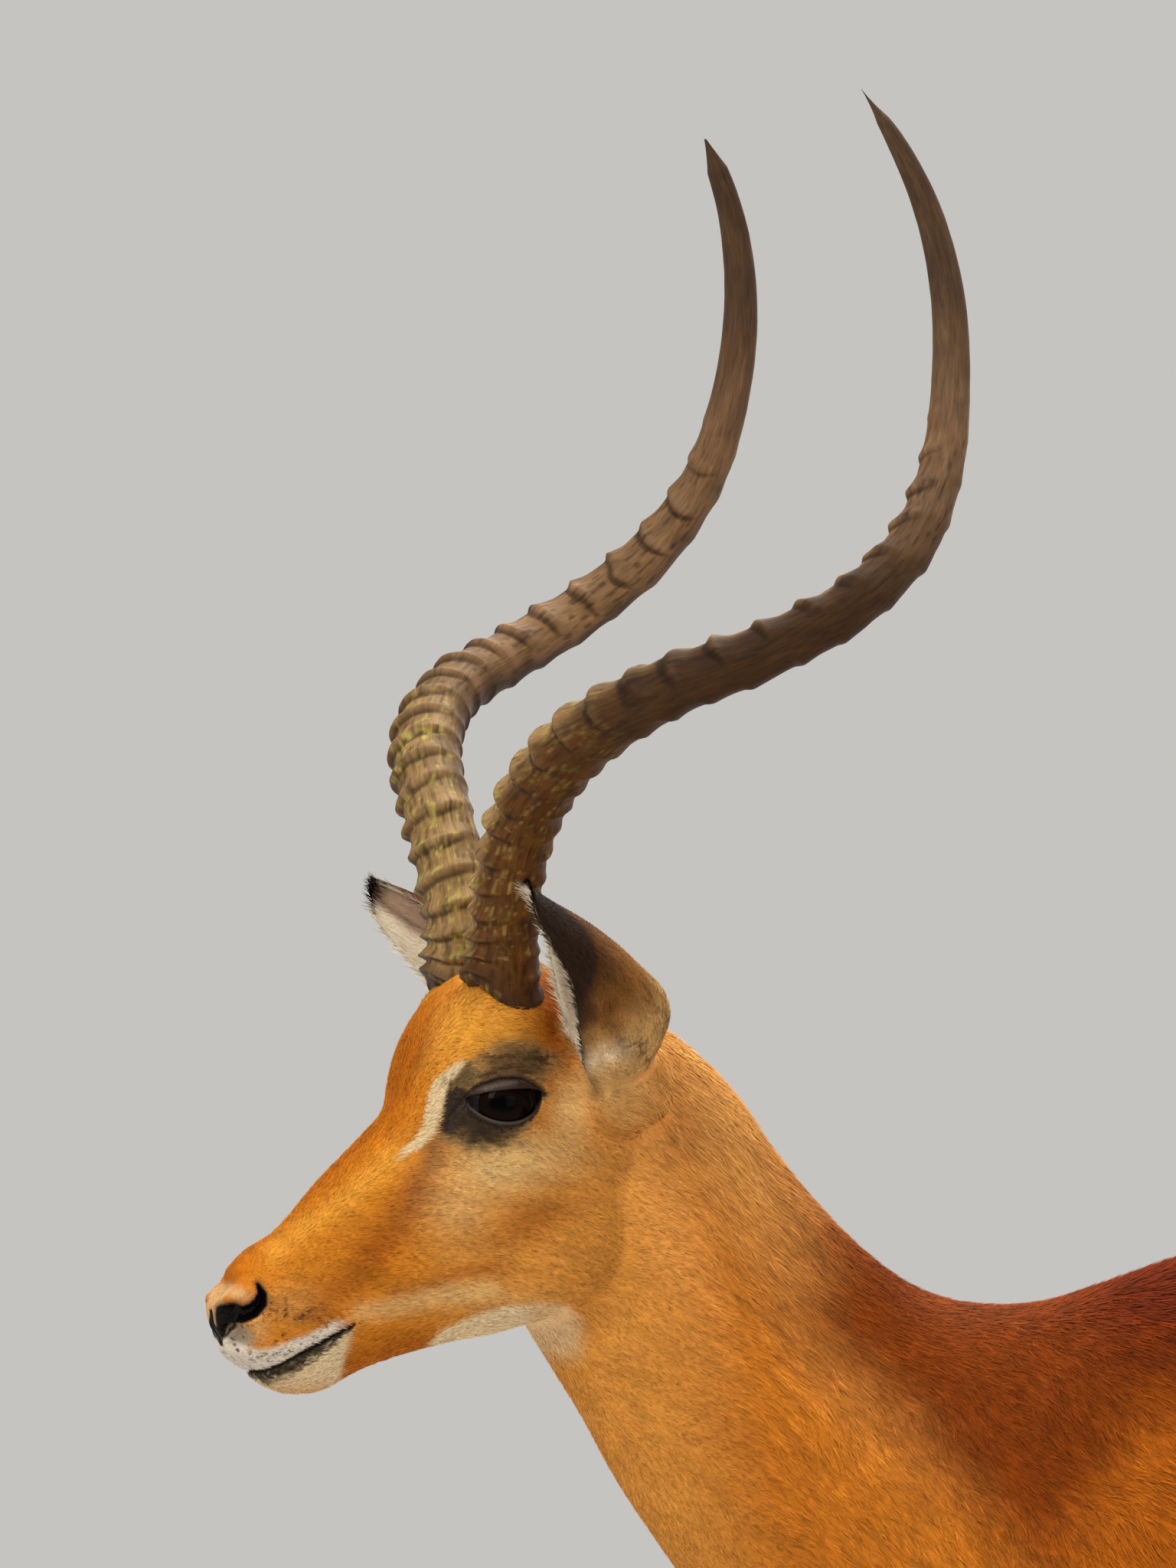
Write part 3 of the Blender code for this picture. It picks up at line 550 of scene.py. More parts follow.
# ------------------------------------------------------------------ the face
@dataclass(frozen=True)
class Face:
    """The openings of the face, as shapes in its side plane: forward and up, in metres.

    Each method returns the distance from an opening's edge, positive outside it.
    """

    front_corner: tuple = (0.13, 0.0084)
    back_corner: tuple = (0.0878, 0.0116)
    upper_arch: float = 0.0033
    lower_arch: float = 0.0138
    fold_shares: tuple = (-0.08, 0.15, 0.35, 0.62, 0.85, 1.08)
    fold_heights: tuple = (0.0008, 0.0032, 0.0055, 0.0064, 0.0046, 0.001)
    tear_groove: tuple = ((0.13, 0.0075), (0.138, -0.0015), (0.1388, -0.008))
    nostril_line: tuple = (
        (0.2548, -0.1205), (0.2558, -0.115), (0.255, -0.109), (0.253, -0.1055), (0.248, -0.1066),
        (0.2425, -0.1045), (0.2387, -0.1005), (0.2372, -0.0955), (0.2388, -0.0908),
    )
    nostril_radii: tuple = (0.0012, 0.0036, 0.005, 0.005, 0.004, 0.0038, 0.0032, 0.0021, 0.0008)
    septum_heights: tuple = (-0.119, -0.1122, -0.1017, -0.095)
    septum_widths: tuple = (0.003, 0.006, 0.0085, 0.012)
    strip_heights: tuple = (-0.1245, -0.1225, -0.118, -0.112, -0.1046, -0.103)
    strip_widths: tuple = (0.0, 0.003, 0.0066, 0.0044, 0.0024, 0.0)
    mouth: tuple = (
        (0.245, -0.138), (0.2397, -0.1376), (0.2325, -0.1364), (0.226, -0.1334), (0.2177, -0.1285),
        (0.2089, -0.1241), (0.1993, -0.1188), (0.1923, -0.1152), (0.186, -0.1122),
    )

    def eye(self, forward: Array, up: Array) -> tuple[Array, Array, Array]:
        """Measures places from the edge of the lids.

        Args:
            forward: Distance forward of each place.
            up: Height of each place.

        Returns:
            The distance from the edge, 1 above the corners' line and -1 below it, and the
            share of the way from the back corner to the front one.
        """
        (x1, z1), (x0, z0) = self.front_corner, self.back_corner
        share = (forward - x0) / (x1 - x0)
        inside = np.clip(share, 0, 1)
        line = z0 + (z1 - z0) * inside
        hump = 4 * inside * (1 - inside)
        above = up - line - self.upper_arch * hump**0.6
        below = line - up - self.lower_arch * hump**0.62
        half = np.where(up > line, 1.0, -1.0)
        gap = np.where(half > 0, above, below)
        past = np.maximum(np.maximum(-share, share - 1), 0) * (x1 - x0)
        return np.where(past > 0, np.hypot(past, up - line), gap), half, share

    def fold(self, share: Array) -> Array:
        """Height of the crease above the upper lid, from the back corner to the front one."""
        return np.interp(share, self.fold_shares, self.fold_heights)

    def nostril(self, forward: Array, out: Array, up: Array) -> Array:
        """Distance from the edge of the comma-shaped nostril."""
        gap, share, _ = along_polyline(forward, up, list(self.nostril_line))
        stations = np.linspace(0, 1, len(self.nostril_radii))
        septum = np.interp(up, self.septum_heights, self.septum_widths)
        return np.maximum(gap - np.interp(share, stations, self.nostril_radii), septum - out)

    def strip(self, forward: Array, out: Array, up: Array) -> Array:
        """How far inside the bare strip between the nostrils each place is, below 0 outside."""
        width = np.interp(up, self.strip_heights, self.strip_widths)
        return np.where(forward > 0.243, width - out, -0.01)

    def lips(self, forward: Array, up: Array) -> tuple[Array, Array]:
        """Distance from the line of the mouth, and 1 above it or -1 below."""
        gap, _, side = along_polyline(forward, up, list(self.mouth))
        return gap, -side

    def tear(self, forward: Array, up: Array) -> Array:
        """Distance from the groove below the front corner of the eye."""
        return along_polyline(forward, up, list(self.tear_groove))[0]


FACE = Face()


@dataclass
class Ear:
    """A leaf-shaped cup that opens forwards and inwards, with a thin wall and a solid root."""

    place: Place
    root: tuple = (0.043, 0.048, 0.025)
    axis: tuple = (0.532, 0.522, 0.665)
    opening: tuple = (0.846, -0.308, -0.437)
    length: float = 0.15
    wall: float = 0.0026
    sunk: float = -0.11
    rows: int = 84
    columns: int = 27
    stations: tuple = (0.0, 0.14, 0.42, 0.64, 0.8, 0.92, 1.0)
    back: tuple = (0.02, 0.036, 0.032, 0.02, 0.008, 0.001, 0.0)
    depth: tuple = (0.038, 0.054, 0.042, 0.024, 0.013, 0.006, 0.001)
    half: tuple = (0.016, 0.022, 0.0255, 0.025, 0.021, 0.0135, 0.002)
    wrap: tuple = (140.0, 135.0, 112.0, 98.0, 90.0, 84.0, 80.0)

    def build(self, side: float) -> Piece:
        """Builds one ear, with its length share and its inner side stored on its vertices.

        Args:
            side: -1 for the left ear and 1 for the right one.

        Returns:
            The ear, closed at its root.
        """
        axis = unit(np.array(self.axis))
        opening = np.array(self.opening)
        opening = unit(opening - axis * opening.dot(axis))
        across = np.cross(axis, opening)
        share = np.linspace(self.sunk, 1.0, self.rows)
        table = np.column_stack([self.back, self.depth, self.half, self.wrap])
        dense = smooth_through(table, np.array(self.stations), 240)
        at = np.clip(share, 0, 1)
        grid = np.linspace(0, 1, 240)
        back, depth, half, wrap = (np.interp(at, grid, row)[:, None] for row in dense.T)
        wrap = np.radians(wrap)
        wall = np.minimum(self.wall, np.minimum(0.4 * half, 0.4 * depth))
        hollow = np.clip((share - 0.08) / 0.14, 0, 1)[:, None]
        u = np.linspace(-1, 1, self.columns)[None, :]
        aside = half * np.sin(wrap * u)
        deep = depth * (1 - np.cos(wrap * u)) / (1 - np.cos(wrap))
        edge = aside[:, -1:] * (1 - wall / half)
        inner_aside = edge * u * (1 - hollow) + aside * (1 - wall / half) * hollow
        inner_deep = depth * (1 - hollow) + (deep + wall * (1 - deep / depth)) * hollow
        ridge = 0.0007 * np.cos(wrap * u * 7.0) * hollow * np.sin(np.pi * at[:, None])
        inner_deep = inner_deep + ridge * (1 - u**4)
        aside = np.hstack([aside, inner_aside[:, ::-1]])
        deep = np.hstack([deep, inner_deep[:, ::-1]]) - back
        middle = np.array(self.root) + share[:, None] * self.length * axis
        local = middle[:, None] + aside[..., None] * across + deep[..., None] * opening
        rings = self.place.head_out(local.reshape(-1, 3), side).reshape(*local.shape)
        obj = tube("ear", rings)
        inner = np.tile(np.repeat([0.0, 1.0], self.columns), (self.rows, 1))
        edge = np.tile(np.concatenate([u[0], u[0, ::-1]]), (self.rows, 1))
        values = {
            "ear_share": np.broadcast_to(share[:, None], inner.shape), "ear_inner": inner,
            "ear_edge": edge, "ear": np.ones_like(inner),
        }
        store_rings(obj, rings, values)
        return obj


def store_rings(obj: Piece, rings: Array, values: dict[str, Array]) -> None:
    """Stores a tube's values, one for each place on its rings, on its vertices.

    Args:
        obj: The tube made from the rings.
        rings: The places it was made from.
        values: Numbers or vectors for each place, by the name to store them under.
    """
    flat = rings.reshape(-1, 3).astype(np.float32).astype(float)
    keys = {tuple(row): i for i, row in enumerate(np.round(flat, 6))}
    index = np.array([keys[tuple(row)] for row in np.round(vertices(obj), 6)])
    for name, rows in values.items():
        vector = rows.ndim == rings.ndim
        picked = rows.reshape(-1, 3)[index] if vector else rows.reshape(-1)[index]
        layer = obj.data.attributes.new(name, "FLOAT_VECTOR" if vector else "FLOAT", "POINT")
        layer.data.foreach_set("vector" if vector else "value", picked.astype(np.float32).ravel())


def stored(obj: Piece, name: str) -> Array:
    """A stored value for each vertex of the object."""
    values = np.zeros(len(obj.data.vertices), np.float32)
    obj.data.attributes[name].data.foreach_get("value", values)
    return values.astype(float)


# ------------------------------------------------------------------ markings
@dataclass(frozen=True)
class CoatColours:
    """The colours of the coat, as sRGB hex. Some are laid as painted light and shade."""

    orange: str = "c8781c"
    bridge: str = "bd6a0c"
    forehead: str = "e09a3a"
    side_dark: str = "9a500f"
    cheek: str = "cb8536"
    beige: str = "ddb273"
    brow: str = "57432a"
    dusk: str = "35281f"
    streak: str = "d8bd90"
    lid: str = "2c1f19"
    brow_light: str = "8a6f48"
    bright: str = "e6a038"
    flap: str = "d2a873"
    lip_grey: str = "83735f"
    ear_brown: str = "4a2b12"
    lid_shine: str = "5c4f49"
    rim: str = "6b5f5a"
    black: str = "0d0806"
    white: str = "e0c598"
    lip: str = "cdc1ae"
    crown: str = "a04f0c"
    neck: str = "cc761f"
    # crest is laid as painted light on the top of the neck
    crest: str = "eea456"
    # painted shade on the underside of the neck
    throat_shade: str = "8b480e"
    neck_base: str = "843a04"
    shoulder: str = "b65f0e"
    saddle: str = "6c2300"
    rump: str = "8a3f12"
    flank: str = "bd7c38"
    belly: str = "e2d2b4"
    leg: str = "b37030"
    ear_back: str = "93602a"
    ear_root: str = "b58a52"
    ear_dark: str = "25160c"
    ear_inside: str = "a88b72"
    ear_edge: str = "e2d2b8"
    vein: str = "40291a"


PALETTE = CoatColours()


def tone(name: str) -> Array:
    """One of the coat's colours by its name, or any other by its sRGB hex, made linear."""
    return linear(getattr(PALETTE, name, name))


@dataclass
class Dye:
    """Rows of colour that others are laid over, one after another."""

    rows: Array

    @classmethod
    def of(cls, name: str, count: int) -> "Dye":
        """Rows of one colour."""
        return cls(np.tile(tone(name), (count, 1)))

    def lay(self, name: str, share: Array) -> None:
        """Blends the rows towards a colour by each row's share."""
        self.rows = mix(self.rows, tone(name), share)


@dataclass
class Markings:
    """The coat's pattern, with painted light and shade, as one function of place that skin and
    tufts share.
    """

    place: Place

    def paint(self, places: Array, facing: Array, ear: "EarPlaces") -> Array:
        """Colours places on the skin.

        Args:
            places: Rows of places.
            facing: The skin's normals there.
            ear: Where each place is on an ear.

        Returns:
            Rows of linear colours.
        """
        body = self.body(places, facing)
        view = SideView.of(self.place, places)
        head = self.head(view)
        plan = places - self.place.shift
        jaw = step(-0.02, 0.045, view.forward - 0.25 * view.up - 0.02)
        colours = mix(body, head, jaw * step(-0.2, -0.24, plan[:, 0]))
        near = np.maximum(ear.ear * step(-0.04, 0.06, ear.share), ear.near)
        return mix(colours, self.ears(places, view, ear), near)

    def body(self, places: Array, facing: Array) -> Array:
        """Colours of the neck, trunk, legs and tail.

        Args:
            places: Rows of places in the model's frame.
            facing: The skin's normals there.

        Returns:
            Rows of linear colours.
        """
        x, y, z = (places - self.place.shift).T
        wave = noise(places, 0.06, 3) * 0.6 + noise(places, 0.016, 4) * 0.4
        down_neck = np.column_stack([0.16 * (0.72 * x - 0.69 * z), y * 0.6, 0.69 * x + 0.72 * z])
        back_trunk = np.column_stack([0.16 * x, y * 0.6, z + 0.3 * x])
        trunk = step(-0.16, 0.02, x)
        on_neck = 0.6 * noise(down_neck, 0.005, 6) + 0.4 * noise(down_neck, 0.002, 8)
        on_trunk = 0.6 * noise(back_trunk, 0.0065, 7) + 0.4 * noise(back_trunk, 0.0028, 9)
        strokes = on_neck * (1 - trunk) + on_trunk * trunk
        tops = sorted(s.top for s in NECK_AND_TRUNK)
        lows = sorted(s.bottom for s in NECK_AND_TRUNK)
        top = np.interp(x, [p[0] for p in tops], [p[1] for p in tops])
        low = np.interp(x, [p[0] for p in lows], [p[1] for p in lows])
        height = (z - low) / np.maximum(top - low, 0.05) + 0.025 * wave
        dye = Dye.of("neck", len(places))
        # Painted light: the top of the neck, and the upper neck behind the head, take the pale
        # crest tone as if lit from above.
        upper = np.maximum(step(0.55, 0.95, height), step(-0.29, -0.38, x) * step(0.2, 0.6, height))
        dye.lay("crest", upper * 0.85)
        # Painted shade: the lower part of the neck and trunk is darkened as if lit from above.
        dye.lay("throat_shade", step(0.58, 0.05, height) * 0.8)
        base = step(-0.26, -0.175, x + 0.88 * np.minimum(z - 0.8, 0.07) + 0.012 * wave)
        dye.lay("neck_base", base)
        shoulder = step(-0.14, -0.085, x - 0.5 * (z - 0.8) + 0.012 * wave)
        dye.lay("shoulder", shoulder)
        saddle = step(0.58, 0.68, height)
        line = step(-0.17, -0.06, x + 0.95 * (z - 0.86) + 0.01 * wave)
        flank = step(-0.03, 0.09, x + 0.3 * (z - 0.75))
        dye.lay("flank", flank * step(0.7, 0.56, height))
        back = tone("saddle") + (tone("rump") - tone("saddle")) * step(0.0, 0.3, x)[:, None]
        dye.rows = mix(dye.rows, back, np.maximum(saddle * flank, line * saddle))
        outward = step(-0.1, 0.35, facing[:, 1] * np.sign(y))
        thigh = step(0.31, 0.36, x + 0.35 * (0.6 - z)) * outward
        elbow = step(0.08, 0.03, x) * outward
        under = step(0.2, 0.1, height) * step(-0.1, 0.02, x) * (1 - thigh) * (1 - elbow)
        dye.lay("belly", under * step(0.38, 0.5, z))
        self.limbs(dye, (x, y, z, facing, wave))
        self.rear(dye, (x, y, z, facing, wave))
        return dye.rows * np.exp(0.32 * strokes + 0.08 * wave)[:, None]

    def limbs(self, dye: Dye, at: tuple) -> None:
        """Adds the legs' tan outer side, pale inner side and the hind feet's black tufts.

        Args:
            dye: The colours so far, changed in place.
            at: x, y and z in the plan, the skin's normals, and slow noise for the edges.
        """
        x, y, z, facing, wave = at
        leg = step(0.62, 0.52, z)
        dye.lay("leg", leg * 0.9)
        inward = -facing[:, 1] * np.sign(y)
        pale = step(0.15, 0.75, inward + 0.1 * wave) * step(0.66, 0.58, z)
        dye.lay("belly", pale * step(0.1, 0.3, z) * 0.9)
        dye.lay("white", step(0.1, 0.055, z) * 0.35)
        shin = step(0.3, 0.9, -facing[:, 0]) * step(0.5, 0.42, z) * 0.25
        dye.lay("side_dark", shin * (1 - pale))
        heel = step(0.3, 0.8, facing[:, 0]) * step(0.112, 0.13, z) * step(0.205, 0.18, z)
        dye.lay("black", heel * (x > 0.3))

    def rear(self, dye: Dye, at: tuple) -> None:
        """Adds the white rump with its two black stripes, and the tail with its own.

        Args:
            dye: The colours so far, changed in place.
            at: x, y and z in the plan, the skin's normals, and slow noise for the edges.
        """
        x, y, z, facing, wave = at
        buttock = step(0.575, 0.6, x + 0.1 * (z - 0.75)) * (z > 0.6)
        white = buttock * step(0.044, 0.036, np.abs(y) + 0.002 * wave) * step(0.62, 0.68, z)
        dye.lay("white", white)
        stripe = bump(np.abs(y) - 0.046 - 0.002 * wave, 0.0065) * buttock
        dye.lay("black", stripe * step(0.87, 0.84, z) * step(0.62, 0.66, z))
        tail = (x > 0.628) & (np.abs(y) < 0.05)
        bush = step(0.66, 0.6, z)
        dye.lay("flank", tail * 1.0)
        dye.lay("white", tail * np.maximum(step(0.4, -0.1, facing[:, 0]), bush))
        ridge = tail * step(0.55, 0.85, facing[:, 0]) * step(0.52, 0.56, z)
        dye.lay("black", ridge)

    def head(self, view: "SideView") -> Array:
        """Colours of the head, whose pattern is read square from its side.

        Args:
            view: The places seen from the side.

        Returns:
            Rows of linear colours.
        """
        along, height = view.along, view.height
        dye = Dye.of("orange", len(along))
        lower = step(0.15, 0.1, along) * step(0.01, -0.03, height)
        dye.lay("cheek", lower)
        top = step(0.01, 0.04, height) * step(0.055, 0.085, along)
        dye.lay("forehead", top * 0.65)
        ridge = step(0.024, 0.012, view.out) * step(0.1, 0.14, along)
        dye.lay("bridge", np.maximum(ridge, step(0.205, 0.235, along)))
        # Painted shade: the middle line along the top of the nose is darkened further.
        dye.lay("side_dark", step(0.01, 0.003, view.out) * ridge * 0.45)
        dye.lay("crown", step(0.05, 0.066, height) * step(0.085, 0.06, along))
        for name, points, width, strength in HEAD_BANDS:
            dye.lay(name, view.band(points, width) * strength)
        for name, x, z, wide, tall, lean, strength in HEAD_PATCHES:
            dye.lay(name, view.spot(x, z, wide, tall, lean) * strength)
        dye.rows = dye.rows * np.exp(0.2 * view.strokes)[:, None]
        dye.lay("white", self.jaw(view))
        self.eye(dye, view)
        self.muzzle(dye, view)
        return dye.rows

    @staticmethod
    def jaw(view: "SideView") -> Array:
        """How white the chin and the underside of the jaw are, less where painted shade falls.

        Args:
            view: The places seen from the side.

        Returns:
            One share for each place.
        """
        along, height = view.along, view.height
        chin = step(0.1722, 0.1765, along + 0.25 * (height + 0.14) + 0.0006 * view.speck)
        half = FACE.lips(view.forward, view.up)[1]
        chin = chin * (half < 0) * step(-0.105, -0.115, height) * step(0.26, 0.24, along)
        edge = np.interp(
            along, [0.04, 0.0451, 0.0533, 0.0697, 0.0861, 0.1025, 0.1189, 0.129],
            [-0.112, -0.107, -0.1025, -0.1012, -0.1028, -0.107, -0.1138, -0.123],
        )
        under = step(0.0012, -0.0026, height - edge + 0.0012 * view.wave)
        under = under * step(0.131, 0.122, along) * step(0.04, 0.052, along)
        # Painted shade: the white under the jaw is dimmed at the throat, most of all low down.
        throat_shade = step(0.078, 0.07, along)
        under = under * (1 - throat_shade * (0.35 + 0.65 * step(-0.122, -0.138, height)))
        # The chin's white thins towards its bottom, as painted shade under the jaw.
        return np.maximum(chin * (0.95 - 0.45 * step(-0.1385, -0.15, height)), under * 0.92)

    def eye(self, dye: Dye, view: "SideView") -> None:
        """Adds the pale streak, the dusky patches, and the dark lids with their painted sheen and
        shade.

        Args:
            dye: The colours so far, changed in place.
            view: The places seen from the side.
        """
        rough = 0.2 * view.speck + 0.14 * view.fine
        gap, half, share = FACE.eye(view.forward, view.up)
        fold = FACE.fold(share)
        upper, lower = half > 0, half < 0
        stations = [-0.2, 0.08, 0.45, 0.85, 1.15]
        reach = np.interp(share, stations, [0.004, 0.007, 0.011, 0.014, 0.015])
        dusk = step(1.0, 0.1, gap / reach + rough) * lower * step(-0.25, -0.05, share)
        front = view.spot(0.1118, 0.0075, 0.0085, 0.0085, -0.2)
        dusk = np.maximum(dusk, step(0.12, 0.7, front + 0.6 * rough) * 0.85)
        front = view.spot(0.1087, -0.0014, 0.0068, 0.0058)
        dusk = np.maximum(dusk, step(0.1, 0.7, front + 0.6 * rough) * 0.8)
        front = view.spot(0.1085, 0.0185, 0.0095, 0.01, -0.4)
        dusk = np.maximum(dusk, step(0.15, 0.8, front + rough) * 0.5)
        tear = FACE.tear(view.forward, view.up)
        dusk = np.maximum(dusk, step(0.007, 0.001, tear + 0.003 * rough) * 0.95)
        below = view.spot(0.1, -0.008, 0.025, 0.0125, 0.08)
        dusk = np.maximum(dusk, step(0.1, 1.05, below + rough) * 0.8)
        brow = view.spot(0.08, 0.027, 0.0195, 0.011, -0.06) * 1.45
        brow = np.maximum(brow, view.spot(0.086, 0.0195, 0.0225, 0.007, -0.05) * 1.25)
        dye.lay("brow_light", step(0.16, 0.55, brow + 0.6 * rough) * 0.75)
        dye.lay("brow", step(0.45, 1.05, brow + rough) * 0.85)
        hairs = noise(
            np.column_stack([view.along * 0.14, view.height + 0.12 * view.along, view.out * 0.2]),
            0.001, 17,
        )
        line = view.stroke(
            [(0.095, 0.0318), (0.0802, 0.031), (0.0685, 0.0294), (0.0622, 0.0262)],
            [0.0006, 0.0012, 0.0016, 0.0008], 0.0012,
        )
        dark_hairs = step(0.1, 0.5, hairs + 0.7 * line) * step(0.25, 0.7, brow) * 0.8
        dye.lay("vein", dark_hairs)
        streak = view.stroke(
            [
                (0.1095, 0.0262), (0.115, 0.0215), (0.12, 0.016), (0.1232, 0.0078),
                (0.125, -0.0021), (0.1282, -0.0098), (0.1336, -0.0164), (0.1394, -0.0208),
                (0.1445, -0.024),
            ],
            [0.0016, 0.0032, 0.004, 0.0043, 0.004, 0.0034, 0.0027, 0.0018, 0.0006],
            0.0009,
        )
        dye.lay("brow_light", step(0.05, 0.35, dusk) * 0.8)
        dye.lay("brow", step(0.25, 0.6, dusk) * 0.85)
        dye.lay("dusk", step(0.5, 0.82, dusk) * 0.95)
        dye.lay("lid", step(0.78, 1.0, dusk) * 0.9)
        dye.lay("streak", streak * 0.97)
        flecks = view.spot(0.1145, 0.0165, 0.0055, 0.0046) * step(0.1, 0.4, view.speck)
        dye.lay("dusk", flecks * 0.9)
        ring = step(0.0036, 0.0014, gap + 0.0006 * view.fine) * (share > -0.3)
        dye.lay("lid", ring * lower * 0.95)
        around = step(0.003, 0.0004, gap - fold) * upper
        dye.lay("dusk", around * 0.75)
        dye.lay("lid", step(0.0006, -0.0004, gap - fold) * upper * 0.95)
        # Painted highlight: a grey sheen across the middle of the upper lid.
        shine = bump((gap - 0.52 * fold) / np.maximum(fold, 0.001), 0.26)
        shine = shine * step(0.35, 0.6, share) * step(0.97, 0.8, share)
        dye.lay("lid_shine", shine * upper * 0.75)
        # Painted shade: a thin black line in the crease above the upper lid.
        crease = bump(gap - fold, 0.0005) * upper * step(0.15, 0.45, share)
        dye.lay("black", crease * 0.85)
        # A light line along the lower lid's rim: partly its grey skin, partly a painted highlight
        # on the wet edge.
        rim = bump(gap - 0.001, 0.0006) * lower * step(0.1, 0.35, share)
        dye.lay("rim", rim * 0.38)
        dye.lay("lid", step(0.004, 0.0006, tear) * 0.92)
        dye.lay("black", step(0.0005, -0.0003, gap))

    def muzzle(self, dye: Dye, view: "SideView") -> None:
        """Adds the pale lips, their whisker roots, the nostrils with painted shade under their
        flaps, and the bare strip between.

        Args:
            dye: The colours so far, changed in place.
            view: The places seen from the side.
        """
        along, height, forward, up = view.along, view.height, view.forward, view.up
        gap, half = FACE.lips(forward, up)
        front = step(0.166, 0.18, along)
        band = np.interp(
            along, [0.165, 0.177, 0.19, 0.203, 0.2225], [0.0035, 0.0072, 0.0074, 0.0088, 0.0125]
        )
        upper = step(0.0014, -0.0014, gap - band + 0.001 * view.wave) * (half > 0) * front
        tip = step(-0.1165, -0.12, height + 0.12 * (along - 0.232)) * step(0.2195, 0.225, along)
        dye.lay("lip", np.maximum(upper, tip * (half > 0)) * 0.95)
        inner_lip = view.spot(0.2285, -0.1162, 0.0105, 0.0058, 0.35)
        dye.lay("lip_grey", step(0.1, 0.7, inner_lip) * 0.9)
        fringe = noise(np.column_stack([along + 0.6 * height, height * 0.22, view.out]), 0.0016, 18)
        depth = np.interp(along, [0.166, 0.18, 0.195, 0.222], [0.002, 0.008, 0.012, 0.012])
        below = step(1.05, 0.1, gap / depth + 0.4 * fringe + 0.15 * view.speck)
        below = below * (half < 0) * step(0.161, 0.168, along)
        dye.lay("dusk", step(0.15, 0.55, below) * 0.75)
        dye.lay("black", step(0.5, 1.0, below) * 0.85)
        line = step(0.0014, 0.0005, gap) * step(0.16, 0.166, along)
        dye.lay("black", line * 0.95)
        dye.lay("lid", self.whisker_roots(along, height) * 0.92)
        wing = view.spot(0.217, -0.113, 0.0055, 0.009, 0.3)
        dye.lay("flap", wing * 0.45)
        flap = view.spot(0.229, -0.095, 0.008, 0.0036, 0.25)
        dye.lay("flap", flap * 0.8)
        tip_pale = step(0.016, 0.01, view.out) * step(0.24, 0.25, forward)
        tip_pale = tip_pale * step(-0.088, -0.096, up)
        tip_pale = tip_pale * step(0.2375, 0.24, along + 0.02 * step(-0.11, -0.102, up))
        dye.lay("flap", tip_pale * 0.8)
        nostril = FACE.nostril(forward, view.out, up)
        # Painted shade round the upper part of the nostril, under its flap.
        shade = step(0.0036, 0.0004, nostril) * (up > -0.114 + 0.6 * (0.25 - forward))
        dye.lay("lid", shade * 0.62)
        dye.lay("black", step(0.001, 0.0, nostril))
        dye.lay("black", step(-0.0006, 0.0004, FACE.strip(forward, view.out, up)))

    @staticmethod
    def whisker_roots(along: Array, height: Array) -> Array:
        """Dark dots in slanting rows on the upper lip.

        Args:
            along: Distance forward in the side view.
            height: Height in the side view.

        Returns:
            One share for each place.
        """
        pitch = 0.0036
        a, b = along - 0.3 * height, height - 0.5 * along
        row = np.rint(b / pitch)
        shift = np.sin(row * 12.9) * 0.5
        column = np.rint(a / pitch + shift)
        da = a - (column - shift) * pitch - 0.0008 * np.sin(column * 7.3 + row)
        db = b - row * pitch - 0.0008 * np.sin(column * 3.1 + row * 5.0)
        here = step(0.038, 0.026, np.hypot(along - 0.206, (height + 0.118) * 1.7))
        keep_one = np.sin(row * 5.7 + column * 9.1) > -0.6
        return step(0.00088, 0.0005, np.hypot(da, db)) * here * keep_one

    def ears(self, places: Array, view: "SideView", ear: "EarPlaces") -> Array:
        """Colours of the ears, outside and inside.

        Args:
            places: Rows of places in the model's frame.
            view: The places seen from the side.
            ear: Where they are on the ears.

        Returns:
            Rows of linear colours.
        """
        wave = noise(places, 0.01, 21)
        share, edge = ear.share, ear.edge
        back = Dye.of("ear_back", len(places))
        back.lay(
            "ear_brown", step(0.32, 0.78, share - 0.22 * (1 - edge) + 0.22 + 0.04 * wave) * 0.92
        )
        back.lay("ear_root", step(0.42, 0.22, share + 0.05 * wave))
        band = np.interp(
            share, [0.1, 0.3, 0.46, 0.6, 0.7, 0.78, 0.9, 1.0],
            [0.985, 0.96, 0.9, 0.62, 0.08, -0.4, -0.9, -1.3],
        )
        back.lay("ear_dark", step(-0.14, 0.14, edge - band + 0.06 * wave) * 0.95)
        blotch = step(0.15, 0.6, wave) * step(0.45, 0.15, share) * 0.35
        back.lay("ear_brown", blotch)
        veins = [
            view.stroke([(0.0147, 0.0361), (0.0112, 0.029), (0.0057, 0.018)], [0.0008] * 3, 0.0006),
            view.stroke([(0.027, 0.04), (0.016, 0.037), (0.009, 0.0365)], [0.0006] * 3, 0.0006),
            view.stroke([(0.004, 0.056), (-0.003, 0.044), (-0.006, 0.04)], [0.0006] * 3, 0.0006),
            view.stroke([(0.033, 0.047), (0.024, 0.048)], [0.0016] * 2, 0.002) * 0.5,
        ]
        back.lay("ear_edge", view.spot(0.032, 0.03, 0.013, 0.006, -0.3) * 0.4)
        back.lay("vein", np.maximum.reduce(veins) * 0.85)
        lie = np.column_stack([0.018 * share, 0.03 * edge, 0.01 * ear.inner])
        back.rows = back.rows * np.exp(
            0.34 * noise(lie, 0.0011, 22) + 0.16 * noise(lie, 0.003, 23)
        )[:, None]
        inside = Dye.of("ear_inside", len(places))
        rim = step(0.34, 0.6, np.abs(edge) + 0.08 * wave)
        inside.lay("ear_edge", rim)
        inside.lay("vein", bump(np.abs(edge) - 0.34, 0.045) * 0.6)
        inside.lay("ear_dark", step(0.88, 0.95, share))
        return mix(back.rows, inside.rows, ear.inner)

